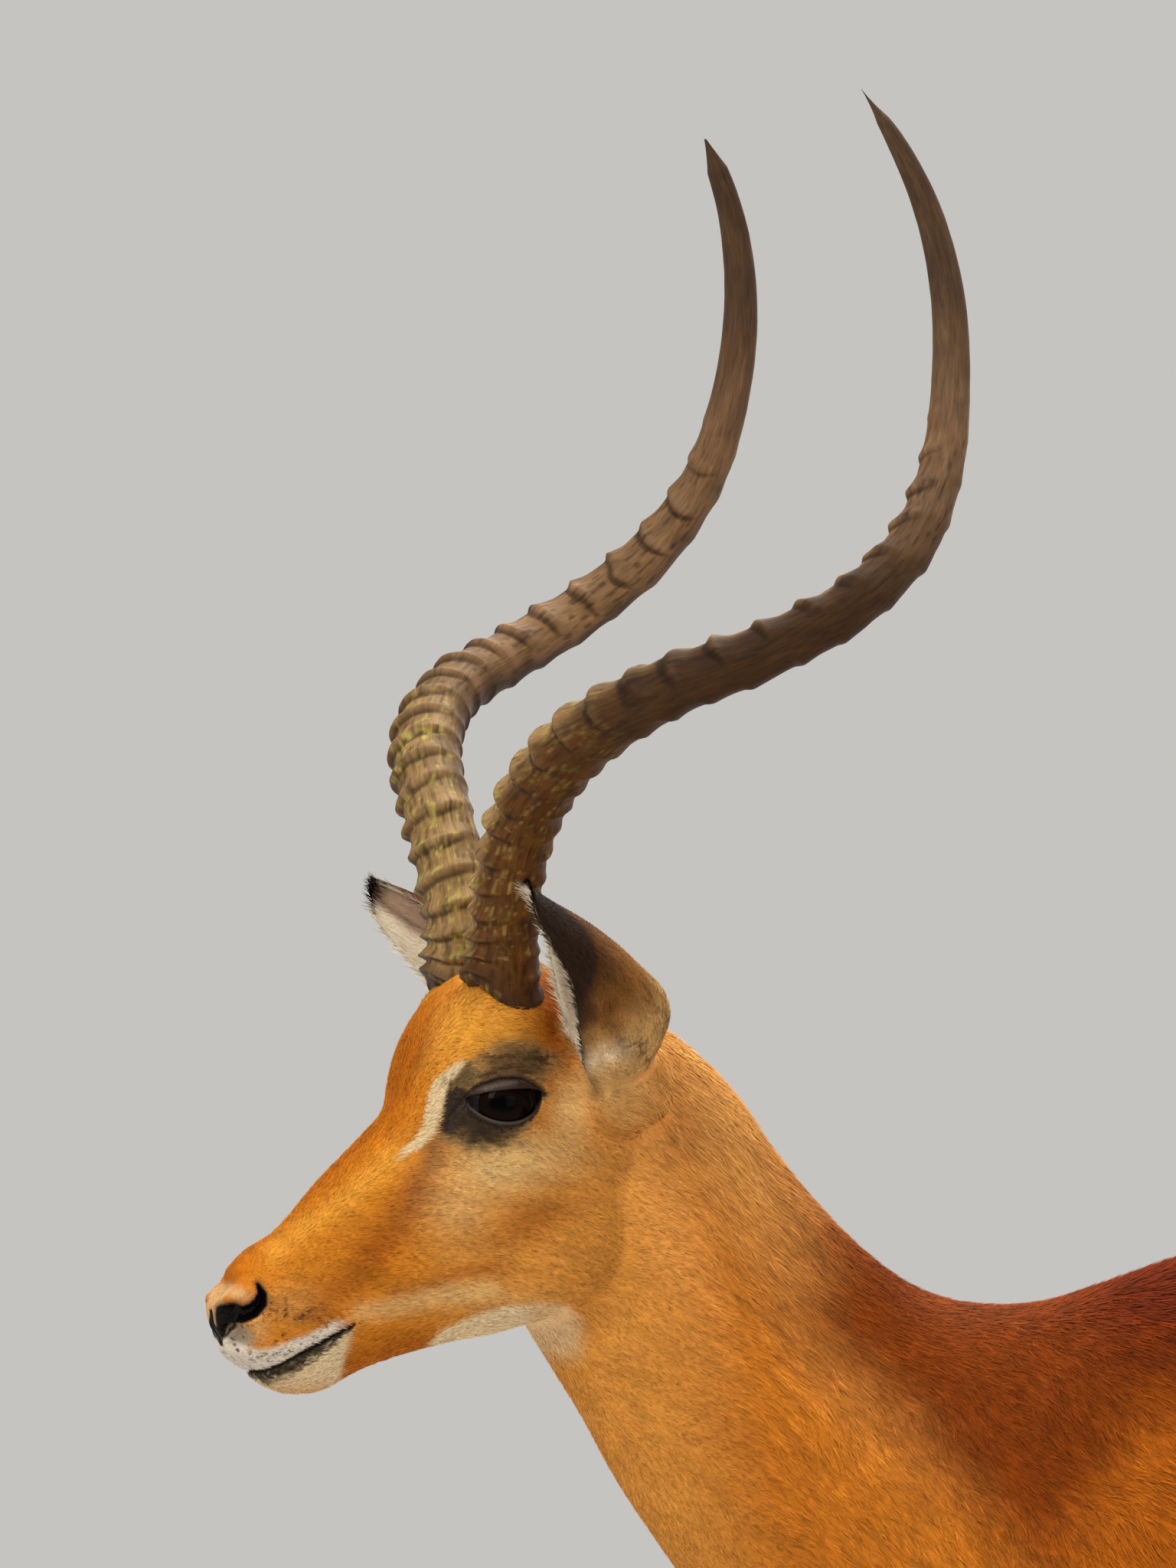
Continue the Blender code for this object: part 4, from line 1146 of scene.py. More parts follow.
    def bare(self, places: Array) -> Array:
        """How bare the skin is: 1 on the nose, lids and lips, 0 under hair.

        Args:
            places: Rows of places in the model's frame.

        Returns:
            One share for each place.
        """
        forward, sideways, up = self.place.head_in(places)
        out = np.abs(sideways)
        on_face = (forward > 0.06) & (up < 0.06)
        gap, half, share = FACE.eye(forward, up)
        lids = np.where(
            half > 0, step(0.0008, -0.0008, gap - 0.9 * FACE.fold(share)), step(0.0026, 0.0016, gap)
        )
        lids = np.maximum(lids, step(0.0018, 0.0008, FACE.tear(forward, up))) * (out > 0.02)
        nose = step(0.0026, 0.0012, FACE.nostril(forward, out, up))
        strip = step(-0.0008, 0.0002, FACE.strip(forward, out, up))
        mouth = step(0.0012, 0.0004, FACE.lips(forward, up)[0])
        return np.maximum.reduce([lids, nose, strip, mouth]) * on_face


@dataclass
class EarPlaces:
    """Where places are on the ears: each is a share, or 0 off them."""

    ear: Array
    share: Array
    inner: Array
    edge: Array
    near: Array

    def all(self) -> tuple:
        """The five of them, in order."""
        return self.ear, self.share, self.inner, self.edge, self.near


def ear_places(skin: Piece) -> EarPlaces:
    """Reads where the skin's vertices are on the ears."""
    names = ("ear", "ear_share", "ear_inner", "ear_edge", "ear_near")
    return EarPlaces(*(stored(skin, name) for name in names))


@dataclass
class SideView:
    """Places on the head as seen square from its side, with the noises that roughen its marks."""

    forward: Array
    out: Array
    up: Array
    along: Array
    height: Array
    fine: Array
    speck: Array
    wave: Array
    strokes: Array

    @classmethod
    def of(cls, place: Place, places: Array) -> "SideView":
        """Measures rows of places in the model's frame.

        Args:
            place: Where the head is.
            places: Rows of places in the model's frame.

        Returns:
            The measured view.
        """
        forward, sideways, up = place.head_in(places)
        out = np.abs(sideways)
        along = forward * math.cos(HEAD_YAW) - out * math.sin(HEAD_YAW)
        down, over = 0.5 * along - 0.86 * up, 0.86 * along + 0.5 * up
        upper = noise(np.column_stack([down * 0.16, over, out * 0.5]), 0.0034, 15)
        back, across = along + 0.25 * up, up - 0.25 * along
        lower = noise(np.column_stack([back * 0.16, across, out * 0.5]), 0.003, 16)
        top = step(-0.01, 0.03, up) * step(0.05, 0.09, along)
        fine = noise(places, 0.006, 11)
        return cls(
            forward=forward, out=out, up=up, along=along + 0.001 * fine,
            height=up + 0.001 * noise(places, 0.006, 13), fine=fine,
            speck=noise(places, 0.0017, 14), wave=noise(places, 0.022, 12),
            strokes=upper * top + lower * (1 - top),
        )

    def spot(self, x: float, z: float, wide: float, tall: float, lean: float = 0.0) -> Array:
        """An oval patch: its centre, half sizes and slope."""
        return oval(self.along - x, self.height - z - lean * (self.along - x), wide, tall)

    def stroke(self, points: list, widths: list, soft: float) -> Array:
        """A stroke along the points, with its half width at each and its edge's softness."""
        gap, share, _ = along_polyline(self.along, self.height, points)
        width = np.interp(share, np.linspace(0, 1, len(widths)), widths)
        return step(soft, -soft, gap - width)

    def band(self, points: list, width: float) -> Array:
        """A band along the points that fades away from its middle."""
        return bump(along_polyline(self.along, self.height, points)[0], width)


# Bands of the face: tone, places along and up, half width, strength.
HEAD_BANDS = [
    # The next three bands are painted shade along the groove between nose and cheek, from the front
    # corner of the eye down to the mouth.
    ("side_dark", [(0.1205, -0.015), (0.1287, -0.0312), (0.138, -0.05)], 0.0062, 0.7),
    ("side_dark", [(0.134, -0.044), (0.1419, -0.0574), (0.1566, -0.0738)], 0.0095, 0.75),
    ("side_dark", [(0.1566, -0.0738), (0.1681, -0.0902), (0.182, -0.101)], 0.0095, 0.6),
    # Painted highlight: a lighter band down the middle of the face.
    (
        "bright", [(0.146, -0.023), (0.1681, -0.0443), (0.1927, -0.0607), (0.2091, -0.0738)],
        0.007, 0.55,
    ),
    ("side_dark", [(0.1451, -0.0975), (0.1189, -0.0878), (0.0927, -0.082)], 0.005, 0.6),
    (
        "beige", [(0.1632, -0.106), (0.1419, -0.103), (0.1189, -0.0965), (0.095, -0.0935)], 0.0055,
        0.6,
    ),
    ("side_dark", [(0.18, -0.133), (0.15, -0.127), (0.13, -0.12)], 0.009, 0.55),
    ("side_dark", [(0.064, 0.064), (0.0612, 0.048), (0.0592, 0.0344)], 0.003, 0.8),
    ("side_dark", [(0.113, 0.066), (0.121, 0.048), (0.133, 0.025)], 0.0026, 0.45),
    ("side_dark", [(0.124, 0.056), (0.133, 0.033), (0.14, 0.008)], 0.0022, 0.45),
    ("vein", [(0.0451, 0.0262), (0.0386, 0.0147), (0.0287, 0.0066)], 0.0014, 0.55),
    ("vein", [(0.04, 0.0262), (0.032, 0.0164), (0.02, 0.011)], 0.0012, 0.5),
]

# Patches of the face: tone, place along and up, half sizes, slope, strength.
HEAD_PATCHES = [
    ("vein", 0.125, -0.0215, 0.005, 0.009, 0.0, 0.5),
    ("beige", 0.1123, -0.05, 0.019, 0.016, 0.0, 0.45),
    ("beige", 0.09, -0.0285, 0.025, 0.013, 0.0, 0.95),
    ("beige", 0.052, 0.003, 0.011, 0.02, 0.0, 0.8),
    # Painted shade on the cheek, along the front edge of the chewing muscle.
    ("side_dark", 0.073, -0.0574, 0.024, 0.0105, -0.36, 0.65),
    ("side_dark", 0.1911, -0.1066, 0.015, 0.006, 0.35, 0.5),
    ("beige", 0.1, -0.0985, 0.03, 0.0055, 0.0, 0.4),
    ("beige", 0.073, -0.019, 0.028, 0.0115, 0.1, 0.6),
    ("ear_root", 0.015, 0.0125, 0.023, 0.019, 0.25, 0.95),
    ("beige", 0.2, -0.101, 0.015, 0.011, 0.0, 0.22),
    ("ear_edge", 0.0275, 0.019, 0.0095, 0.007, 0.3, 0.3),
    ("bright", 0.105, 0.042, 0.015, 0.011, 0.0, 0.5),
    ("crown", 0.0533, 0.048, 0.011, 0.017, 0.0, 0.6),
    ("side_dark", 0.06, 0.062, 0.0085, 0.02, 0.0, 0.8),
    ("ear_root", 0.022, 0.01, 0.019, 0.017, 0.0, 0.85),
    ("ear_root", 0.04, 0.018, 0.01, 0.01, 0.0, 0.6),
    ("crown", 0.134, 0.033, 0.009, 0.02, -1.5, 0.35),
]


# ------------------------------------------------------------------ the lie of the coat
@dataclass(frozen=True)
class Pile:
    """The hair of one region: lengths in metres, and how many times it covers the skin."""

    length: float
    width: float
    cover: float
    depth: float


class Region(Enum):
    """The regions of the coat, each with its own pile."""

    FACE = Pile(0.0046, 0.00062, 0.85, 0.001)
    NECK = Pile(0.0095, 0.00095, 1.55, 0.0022)
    TRUNK = Pile(0.015, 0.002, 1.6, 0.003)
    LEG = Pile(0.008, 0.0012, 1.2, 0.0012)
    TAIL = Pile(0.034, 0.0022, 2.6, 0.007)
    EAR = Pile(0.0055, 0.0007, 0.95, 0.0005)


@dataclass
class Coat:
    """The hair: which way it lies, how long it is, and the tufts that stand for it."""

    place: Place
    markings: Markings
    most_tufts: int = 49000
    patch: float = 0.0015
    pieces: list = field(default_factory=list)

    def shares(self, places: Array, ear: Array) -> Array:
        """How far each place belongs to each region, as rows that sum to 1.

        Args:
            places: Rows of places in the model's frame.
            ear: 1 on an ear and 0 off it.

        Returns:
            One row for each place.
        """
        x, y, z = (places - self.place.shift).T
        forward, _, up = self.place.head_in(places)
        head = step(-0.01, 0.06, forward - 0.35 * up) * (x < -0.2)
        trunk = step(-0.16, 0.02, x + 0.15 * (z - 0.75))
        leg = step(0.62, 0.5, z)
        tail = step(0.62, 0.66, x) * (np.abs(y) < 0.05) * step(0.86, 0.72, z) * (z > 0.45)
        rows = np.zeros((len(places), 6))
        rest = 1 - ear
        rows[:, 5] = ear
        for column, share in ((4, tail), (3, leg), (0, head), (2, trunk)):
            rows[:, column] = rest * share
            rest = rest * (1 - share)
        rows[:, 1] = rest
        return rows

    def depth(self, places: Array, ear: Array) -> Array:
        """How far the skin lies inside the coat's outline."""
        depths = np.array([r.value.depth for r in Region])
        forward, _, up = self.place.head_in(places)
        nose = step(0.225, 0.25, forward) * (up < 0)
        return (self.shares(places, ear) @ depths) * (1 - 0.7 * nose)

    def directions(self, places: Array, facing: Array, ears: EarPlaces) -> Array:
        """The way the hair lies on the skin, as unit rows square to the normals.

        Args:
            places: Rows of places in the model's frame.
            facing: The skin's normals there.
            ears: Where the places are on the ears.

        Returns:
            One unit row for each place.
        """
        ear = ears.ear
        x, _, z = (places - self.place.shift).T
        forward, sideways, up = self.place.head_in(places)
        side = np.where(sideways < 0, -1.0, 1.0)
        shares = self.shares(places, ear)
        along = forward * math.cos(HEAD_YAW) - np.abs(sideways) * math.sin(HEAD_YAW)

        def rows(a: Array, b: Array, c: Array) -> Array:
            """Rows of three values each."""
            return np.column_stack(np.broadcast_arrays(a, b, c)).astype(float)

        top = step(0.028, 0.012, np.abs(sideways)) * step(0.05, 0.12, along)
        back_of_eye = step(0.12, 0.06, along)
        rise = 1.25 * top + (1 - top) * (0.15 * step(0.0, 0.03, up) - 0.45 * back_of_eye)
        face = self.place.head_direction(rows(-1.0, 0.0, rise), side)
        fringe = (ears.inner * step(0.62, 0.9, np.abs(ears.edge)))[:, None]
        up_ear = self.place.head_direction(rows(0.532, 0.522, 0.665), side)
        over_edge = self.place.head_direction(rows(0.4, 0.0, -0.05), side)
        over_edge = over_edge + up_ear
        leaf = unit(up_ear) * (1 - fringe) + unit(over_edge) * fringe
        crest = step(0.82, 0.98, z)
        neck = rows(0.72, 0.0, -0.69 - 0.15 * (1 - crest))
        buttock = step(0.5, 0.6, x)
        trunk = rows(1.0 - 0.8 * buttock, 0.0, -0.32 - 0.9 * buttock)
        leg = rows(0.1, 0.0, -1.0)
        tail = rows(0.15, 0.0, -1.0)
        total = np.zeros_like(places)
        for column, field_rows in enumerate((face, neck, trunk, leg, tail, leaf)):
            total += unit(field_rows) * shares[:, column : column + 1]
        swirl = 0.3 * noise(places, 0.03, 31) + 0.16 * noise(places, 0.009, 32)
        total = unit(total)
        total += np.cross(facing, total) * swirl[:, None]
        total -= facing * np.sum(total * facing, axis=1)[:, None]
        return unit(total)

    def grow(self, skin: Piece) -> None:
        """Grows the tufts of every region on the skin, one piece for each part of the body.

        Args:
            skin: The skin, changed in place.
        """
        data = SkinData.read(skin)
        shares = self.shares(data.places, data.ears.ear)
        piles = np.array(
            [[getattr(r.value, n) for n in ("length", "width", "cover")] for r in Region]
        )
        length, width, cover = (shares @ piles).T
        length, cover = self.trim(data, length, cover)
        data.length, data.width = length, width
        data.lie = self.directions(data.places, data.facing, data.ears)
        data.depth = self.depth(data.places, data.ears.ear)
        per_area = cover / (0.5 * length * width)
        corners = data.corners
        area = 0.5 * np.linalg.norm(
            np.cross(
                data.places[corners[:, 1]] - data.places[corners[:, 0]],
                data.places[corners[:, 2]] - data.places[corners[:, 0]],
            ),
            axis=1,
        )
        wanted = area * per_area[corners].mean(axis=1)
        middle = data.places[corners].mean(axis=1)
        part = self.part_of(middle, data.ears.ear[corners].mean(axis=1))
        for number, name in enumerate(self.part_names()):
            faces = np.flatnonzero(part == number)
            count = int(min(wanted[faces].sum(), self.most_tufts))
            self.pieces.append(
                self.tufts(f"coat_{name}", data, faces, wanted[faces], count, number)
            )

    @staticmethod
    def part_names() -> list[str]:
        """The parts of the coat, in order."""
        return [
            "face_left", "face_right", "neck_left", "neck_right", "trunk_left", "trunk_right",
            "forelegs", "hindlegs", "ears", "tail",
        ]

    def part_of(self, places: Array, ear: Array) -> Array:
        """The number of the part that each place belongs to.

        Args:
            places: Rows of places in the model's frame.
            ear: 1 on an ear and 0 off it.

        Returns:
            One number for each place.
        """
        x, y, z = (places - self.place.shift).T
        forward, sideways, up = self.place.head_in(places)
        head = (forward - 0.35 * up > 0.015) & (x < -0.2)
        part = np.where(y + 0.02 < 0, 4, 5)
        part = np.where(x < -0.1, np.where(sideways < 0, 2, 3), part)
        part = np.where(head, np.where(sideways < 0, 0, 1), part)
        part = np.where(z < 0.56, np.where(x < 0.15, 6, 7), part)
        part = np.where((x > 0.628) & (np.abs(y) < 0.05) & (z > 0.45), 9, part)
        return np.where(ear > 0.5, 8, part)

    def trim(self, data: "SkinData", length: Array, cover: Array) -> tuple[Array, Array]:
        """Shortens the hair near the eyes, nose and feet, and clears it off bare skin.

        Args:
            data: The skin's arrays.
            length: The hair's length at each vertex.
            cover: How many times the hair covers the skin there.

        Returns:
            The new lengths and covers.
        """
        forward, sideways, up = self.place.head_in(data.places)
        x, _, z = (data.places - self.place.shift).T
        gap, _, _ = FACE.eye(forward, up)
        eye = step(0.004, 0.03, gap) + (np.abs(sideways) < 0.02) + (forward < 0.03)
        muzzle = step(0.17, 0.24, forward) * (up < 0.0) * (x < -0.3)
        length = length * (0.45 + 0.55 * np.clip(eye, 0, 1)) * (1 - 0.45 * muzzle)
        length = length * (1 - 0.35 * step(0.3, 0.1, z))
        heel = (x > 0.3) * step(0.112, 0.13, z) * step(0.205, 0.18, z)
        length = length * (1 + 1.6 * heel * step(0.3, 0.8, data.facing[:, 0]))
        ears = data.ears
        fringe = ears.inner * step(0.6, 0.92, np.abs(ears.edge)) * step(0.02, 0.12, ears.share)
        blunt = step(1.02, 0.8, ears.share)
        length = length * (1 + (0.2 * ears.inner + 0.55 * fringe) * blunt)
        tip = step(0.236, 0.248, forward) * (up < -0.07) * (x < -0.3)
        length = length * (1 - 0.5 * tip)
        cover = cover * (1 - step(0.1, 0.5, data.bare)) * step(0.026, 0.034, z)
        cover = cover * (1 - ears.ear * step(0.03, 0.0, ears.share)) * (1 - ears.near)
        cover = cover * np.where(ears.ear > 0.5, 1 - 0.45 * ears.inner + 2.4 * fringe, 1.0)
        return length, cover

    def tufts(
        self, name: str, data: "SkinData", faces: Array, wanted: Array, count: int, seed: int
    ) -> Piece:
        """Makes one piece of the coat as thin closed spikes.

        Args:
            name: The piece's name.
            data: The skin's arrays.
            faces: The skin's triangles that this piece grows on.
            wanted: How many tufts each triangle wants.
            count: How many tufts to make.
            seed: Picks the random places.

        Returns:
            The piece, coloured and mapped.
        """
        random = np.random.default_rng(ROOT_SEED + seed)
        total = np.cumsum(wanted)
        at = (np.arange(count) + random.random(count)) / count * total[-1]
        face = faces[np.minimum(np.searchsorted(total, at), len(faces) - 1)]
        a, b = random.random(count), random.random(count)
        flip = a + b > 1
        a, b = np.where(flip, 1 - a, a), np.where(flip, 1 - b, b)
        weight = np.column_stack([1 - a - b, a, b])[:, :, None]
        corner = data.corners[face]

        def spread(values: Array) -> Array:
            """The values at each root, from its triangle's corners."""
            rows = values[corner] if values.ndim == 2 else values[corner][..., None]
            return (rows * weight).sum(axis=1)

        root, up = spread(data.places), unit(spread(data.facing))
        lie = spread(data.lie)
        lie = unit(lie - up * np.sum(lie * up, axis=1)[:, None])
        across = np.cross(up, lie)
        turn = random.normal(0, 0.16, count)[:, None]
        lie, across = unit(lie + across * turn), unit(across - lie * turn)
        length = spread(data.length) * random.uniform(0.65, 1.25, (count, 1))
        width = spread(data.width) * random.uniform(0.7, 1.25, (count, 1))
        height = spread(data.depth) * random.uniform(0.45, 1.05, (count, 1))
        rise = np.clip(height / length, 0.03, 0.75)
        tip = root + (lie * np.sqrt(1 - rise**2) + up * rise) * length
        tip += across * random.normal(0, 0.05, (count, 1)) * length
        low = root - up * 0.0004
        places = np.stack(
            [low - across * width / 2, low + across * width / 2, low + up * width * 0.42, tip],
            axis=1,
        )
        obj = self.mesh_of(name, places)
        shade = np.stack([up - across * 0.45, up + across * 0.45, up, up + lie * 0.2], axis=1)
        obj.data.normals_split_custom_set_from_vertices(unit(shade).reshape(-1, 3))
        ears = EarPlaces(*(spread(values)[:, 0] for values in data.ears.all()))
        hue = self.markings.paint(root, up, ears)
        tint = np.exp(
            random.normal(0, 0.2, (count, 1)) - 0.45 * (random.random((count, 1)) < 0.12)
        )
        warm = 1 + random.normal(0, 0.035, (count, 1)) * np.array([[0.3, -0.4, -1.2]])
        hue = hue * tint * warm
        # Painted shade at the root and painted light at the tip: each tuft is darker where it lies
        # among the others and lighter at its free end.
        ends = np.stack([hue * 0.66, hue * 0.66, hue * 0.86, hue * 1.2], axis=1)
        paint(obj, "coat_colour", np.clip(ends.reshape(-1, 3), 0, 1))
        self.map_roots(obj, data, face, weight)
        return obj

    @staticmethod
    def mesh_of(name: str, places: Array) -> Piece:
        """Joins spikes of four places each into one mesh.

        Args:
            name: The new object's name.
            places: Four places for each spike.

        Returns:
            The new object.
        """
        count = len(places)
        mesh = bpy.data.meshes.new(name)
        mesh.vertices.add(4 * count)
        mesh.vertices.foreach_set("co", places.astype(np.float32).ravel())
        spike = np.array([[0, 3, 2], [2, 3, 1], [0, 1, 3], [0, 2, 1]])
        corners = (spike[None] + 4 * np.arange(count)[:, None, None]).ravel()
        mesh.loops.add(12 * count)
        mesh.loops.foreach_set("vertex_index", corners.astype(np.int32))
        mesh.polygons.add(4 * count)
        mesh.polygons.foreach_set("loop_start", np.arange(0, 12 * count, 3, dtype=np.int32))
        mesh.polygons.foreach_set("use_smooth", np.ones(4 * count, bool))
        mesh.update(calc_edges=True)
        obj = bpy.data.objects.new(name, mesh)
        bpy.context.scene.collection.objects.link(obj)
        return obj

    def map_roots(self, obj: Piece, data: "SkinData", face: Array, weight: Array) -> None:
        """Maps each tuft to a small patch round its root's place on the skin's own map.

        Args:
            obj: The piece of coat.
            data: The skin's arrays.
            face: The triangle that each tuft grows on.
            weight: The shares of its corners.
        """
        centre = (data.uv[face] * weight).sum(axis=1)
        corner = np.array([[-1, -1], [1, -1], [0, -0.4], [0, 1]]) * self.patch
        spots = (centre[:, None] + corner[None]).reshape(-1, 2)
        used = np.empty(len(obj.data.loops), np.int32)
        obj.data.loops.foreach_get("vertex_index", used)
        layer = obj.data.uv_layers.new(name="OFBake")
        layer.data.foreach_set("uv", spots[used].astype(np.float32).ravel())


@dataclass
class SkinData:
    """The finished skin as arrays, for growing hair on it."""

    places: Array
    facing: Array
    corners: Array
    uv: Array
    ears: EarPlaces
    bare: Array
    lie: Array = None
    length: Array = None
    width: Array = None
    depth: Array = None

    @classmethod
    def read(cls, skin: Piece) -> "SkinData":
        """Reads the skin's places, normals, triangles, map, ear places and bareness.

        Args:
            skin: The skin, changed in place.

        Returns:
            The arrays.
        """
        mesh = skin.data
        mesh.calc_loop_triangles()
        corners = np.empty(len(mesh.loop_triangles) * 3, np.int32)
        mesh.loop_triangles.foreach_get("vertices", corners)
        loops = np.empty(len(mesh.loop_triangles) * 3, np.int32)
        mesh.loop_triangles.foreach_get("loops", loops)
        uv = np.empty(len(mesh.loops) * 2, np.float32)
        mesh.uv_layers["OFBake"].data.foreach_get("uv", uv)
        return cls(
            places=vertices(skin), facing=normals(skin), corners=corners.reshape(-1, 3),
            uv=uv.reshape(-1, 2)[loops.reshape(-1, 3)].astype(float), ears=ear_places(skin),
            bare=stored(skin, "bare"),
        )


# ------------------------------------------------------------------ the skin
@dataclass
class Skin:
    """One skin over the whole animal, a coat's depth inside the model's outline."""

    place: Place
    coat: Coat
    markings: Markings
    voxel: float = 0.0022
    neck_share: float = 0.135
    body_share: float = 0.052
    head_share: float = 0.25
    joint_rounds: int = 74
    jaw_rounds: int = 22
    last_rounds: int = 7
    eye_radius: float = EYE_RADIUS

    def build(self) -> Piece:
        """Fuses the masses, draws the skin in, and models the face and the folds.

        Returns:
            The finished skin.
        """
        skin = join(self.masses(), "skin")
        apply(skin, "REMESH", mode="VOXEL", voxel_size=self.voxel)
        LOG.info("fused: %d vertices", len(skin.data.vertices))
        self.even_out(skin)
        self.shape_muzzle(skin)
        places = vertices(skin)
        depth = self.coat.depth(places, np.zeros(len(places)))
        set_vertices(skin, places - normals(skin) * depth[:, None])
        self.cut_feet(skin)
        self.thin_body(skin)
        LOG.info("thinned: %d faces", len(skin.data.polygons))
        ears = [Ear(self.place).build(side) for side in SIDES.values()]
        for ear in ears:
            set_vertices(ear, vertices(ear) - normals(ear) * Region.EAR.value.depth)
        skin = join([skin, *ears], "skin")
        self.mark_near_ears(skin)
        self.unwrap(skin)
        LOG.info("unwrapped")
        self.refine(skin)
        self.sculpt_face(skin)
        self.sculpt_body(skin)
        self.dress(skin)
        return skin

    def masses(self) -> list:
        """Every mass of flesh, as closed bodies that overlap.

        Returns:
            The new objects.
        """
        shift = self.place.shift
        head = oval_rings(HEAD, 110, 72)
        made = [
            tube("trunk", oval_rings(NECK_AND_TRUNK, 130, 72) + shift),
            tube("tail", oval_rings(TAIL, 48, 24) + shift),
            tube("head", self.place.head_out(head.reshape(-1, 3), 1.0).reshape(head.shape)),
        ]
        for centre, radii in BODY_MASSES.values():
            made.append(ellipsoid(np.array(centre) + shift, radii))
        for hand, side in SIDES.items():
            for kind, sections in (("foreleg", FORELEG), ("hindleg", HINDLEG)):
                rings = oval_rings(sections, 110, 32, side)
                drop = np.clip((0.62 - rings[..., 2]) / 0.62, 0, 1)
                rings[..., 0] += STANCE[f"{kind}_{hand}"] * drop
                made.append(tube(kind, rings + shift))
            for centre, radii in HEAD_MASSES.values():
                made.append(ellipsoid(self.place.head_out(centre, side), radii, HEAD_YAW))
        return made

    def even_out(self, skin: Piece) -> None:
        """Softens the creases where the masses meet.

        Args:
            skin: The skin, changed in place.
        """
        places = vertices(skin)
        x, _, z = (places - self.place.shift).T
        smooth_part(skin, (z > 0.56) & (x > -0.3) & (x < 0.6), self.joint_rounds)
        forward, _, up = self.place.head_in(vertices(skin))
        jaw = (forward > -0.06) & (forward < 0.1) & (up < 0.075)
        smooth_part(skin, jaw, self.jaw_rounds)
        smooth_part(skin, np.ones(len(places), bool), self.last_rounds)

    def shape_muzzle(self, skin: Piece) -> None:
        """Draws the mouth's front back under the nose and rounds the nose's top.

        Args:
            skin: The skin, changed in place.
        """
        forward, sideways, up = self.place.head_in(vertices(skin))
        front = step(0.202, 0.24, forward)
        back = np.interp(up, *np.array(MUZZLE_PROFILE).T)
        top = step(-0.108, -0.094, up) * np.exp(-(((forward - 0.24) / 0.018) ** 2))
        moved = self.from_head(forward - back * front, sideways, up + 0.003 * top)
        near = (forward > 0.195) & (up < 0.0)
        places = vertices(skin)
        places[near] = moved[near]
        set_vertices(skin, places)

    @staticmethod
    def mark_near_ears(skin: Piece) -> None:
        """Stores which of the head's vertices lie against an ear, to dress them alike.

        Args:
            skin: The skin, changed in place.
        """
        places, on_ear = vertices(skin), stored(skin, "ear") > 0.5
        share = stored(skin, "ear_share")
        low = np.flatnonzero(on_ear & (share > 0.0) & (stored(skin, "ear_inner") < 0.5))
        tree = KDTree(len(low))
        for number, vertex in enumerate(low):
            tree.insert(places[vertex], number)
        tree.balance()
        near = np.zeros(len(places))
        middle = places[low].mean(axis=0)
        reach = np.linalg.norm(places[low] - middle, axis=1).max() + 0.02
        close = np.linalg.norm(places - middle, axis=1) < reach
        taken = {name: stored(skin, name) for name in ("ear_share", "ear_edge")}
        for vertex in np.flatnonzero(close & ~on_ear):
            _, number, gap = tree.find(places[vertex])
            near[vertex] = float(np.clip((0.0065 - gap) / 0.0045, 0, 1))
            for name, values in taken.items():
                values[vertex] = values[low[number]]
        for name, values in taken.items():
            layer = skin.data.attributes[name]
            layer.data.foreach_set("value", values.astype(np.float32))
        layer = skin.data.attributes.new("ear_near", "FLOAT", "POINT")
        layer.data.foreach_set("value", near.astype(np.float32))

    def cut_feet(self, skin: Piece) -> None:
        """Cuts the legs off a little inside the top of each hoof."""
        shift = self.place.shift
        for kind, sections in (("foreleg", FORELEG), ("hindleg", HINDLEG)):
            for hand, side in SIDES.items():
                foot = sections[-2]
                x = (foot.top[0] + foot.bottom[0]) / 2 + STANCE[f"{kind}_{hand}"] * 0.94
                centre = np.array([x, foot.y * side, 0.03]) + shift
                places = vertices(skin)
                near = np.abs(places - centre) < np.array([0.08, 0.05, 0.06])
                in_edit_mode(
                    skin,
                    near.all(axis=1),
                    (
                        bpy.ops.mesh.bisect,
                        {
                            "plane_co": tuple(centre),
                            "plane_no": (math.sin(0.26), 0.0, math.cos(0.26)), "use_fill": True,
                            "clear_inner": True,
                        },
                    ),
                )

    def thin_body(self, skin: Piece) -> None:
        """Thins the mesh where the coat hides it, least of all near the face's features."""
        for part in ("body", "neck", "head"):
            places = vertices(skin)
            forward, sideways, up = self.place.head_in(places)
            out = np.abs(sideways)
            x = (places - self.place.shift)[:, 0]
            behind = (forward - 0.3 * up < 0.0) | (x > -0.2)
            features = (FACE.eye(forward, up)[0] < 0.019) & (out > 0.02) & (forward > 0.066)
            features |= (FACE.nostril(forward, out, up) < 0.012) & (forward > 0.205)
            features |= (FACE.lips(forward, up)[0] < 0.01) & (forward > 0.165)
            chosen, share = {
                "body": (behind & (x > -0.06), self.body_share),
                "neck": (behind & (x <= -0.06), self.neck_share),
                "head": (~behind & ~features, self.head_share),
            }[part]
            in_edit_mode(skin, chosen, (bpy.ops.mesh.decimate, {"ratio": share}))

    @staticmethod
    def unwrap(skin: Piece) -> None:
        """Unfolds the skin, which every tuft's place is then read from."""
        while skin.data.uv_layers:
            skin.data.uv_layers.remove(skin.data.uv_layers[0])
        skin.data.uv_layers.new(name="OFBake")
        settings = {"angle_limit": 1.2, "island_margin": 0.001}
        everything = np.ones(len(skin.data.vertices), bool)
        in_edit_mode(skin, everything, (bpy.ops.uv.smart_project, settings))

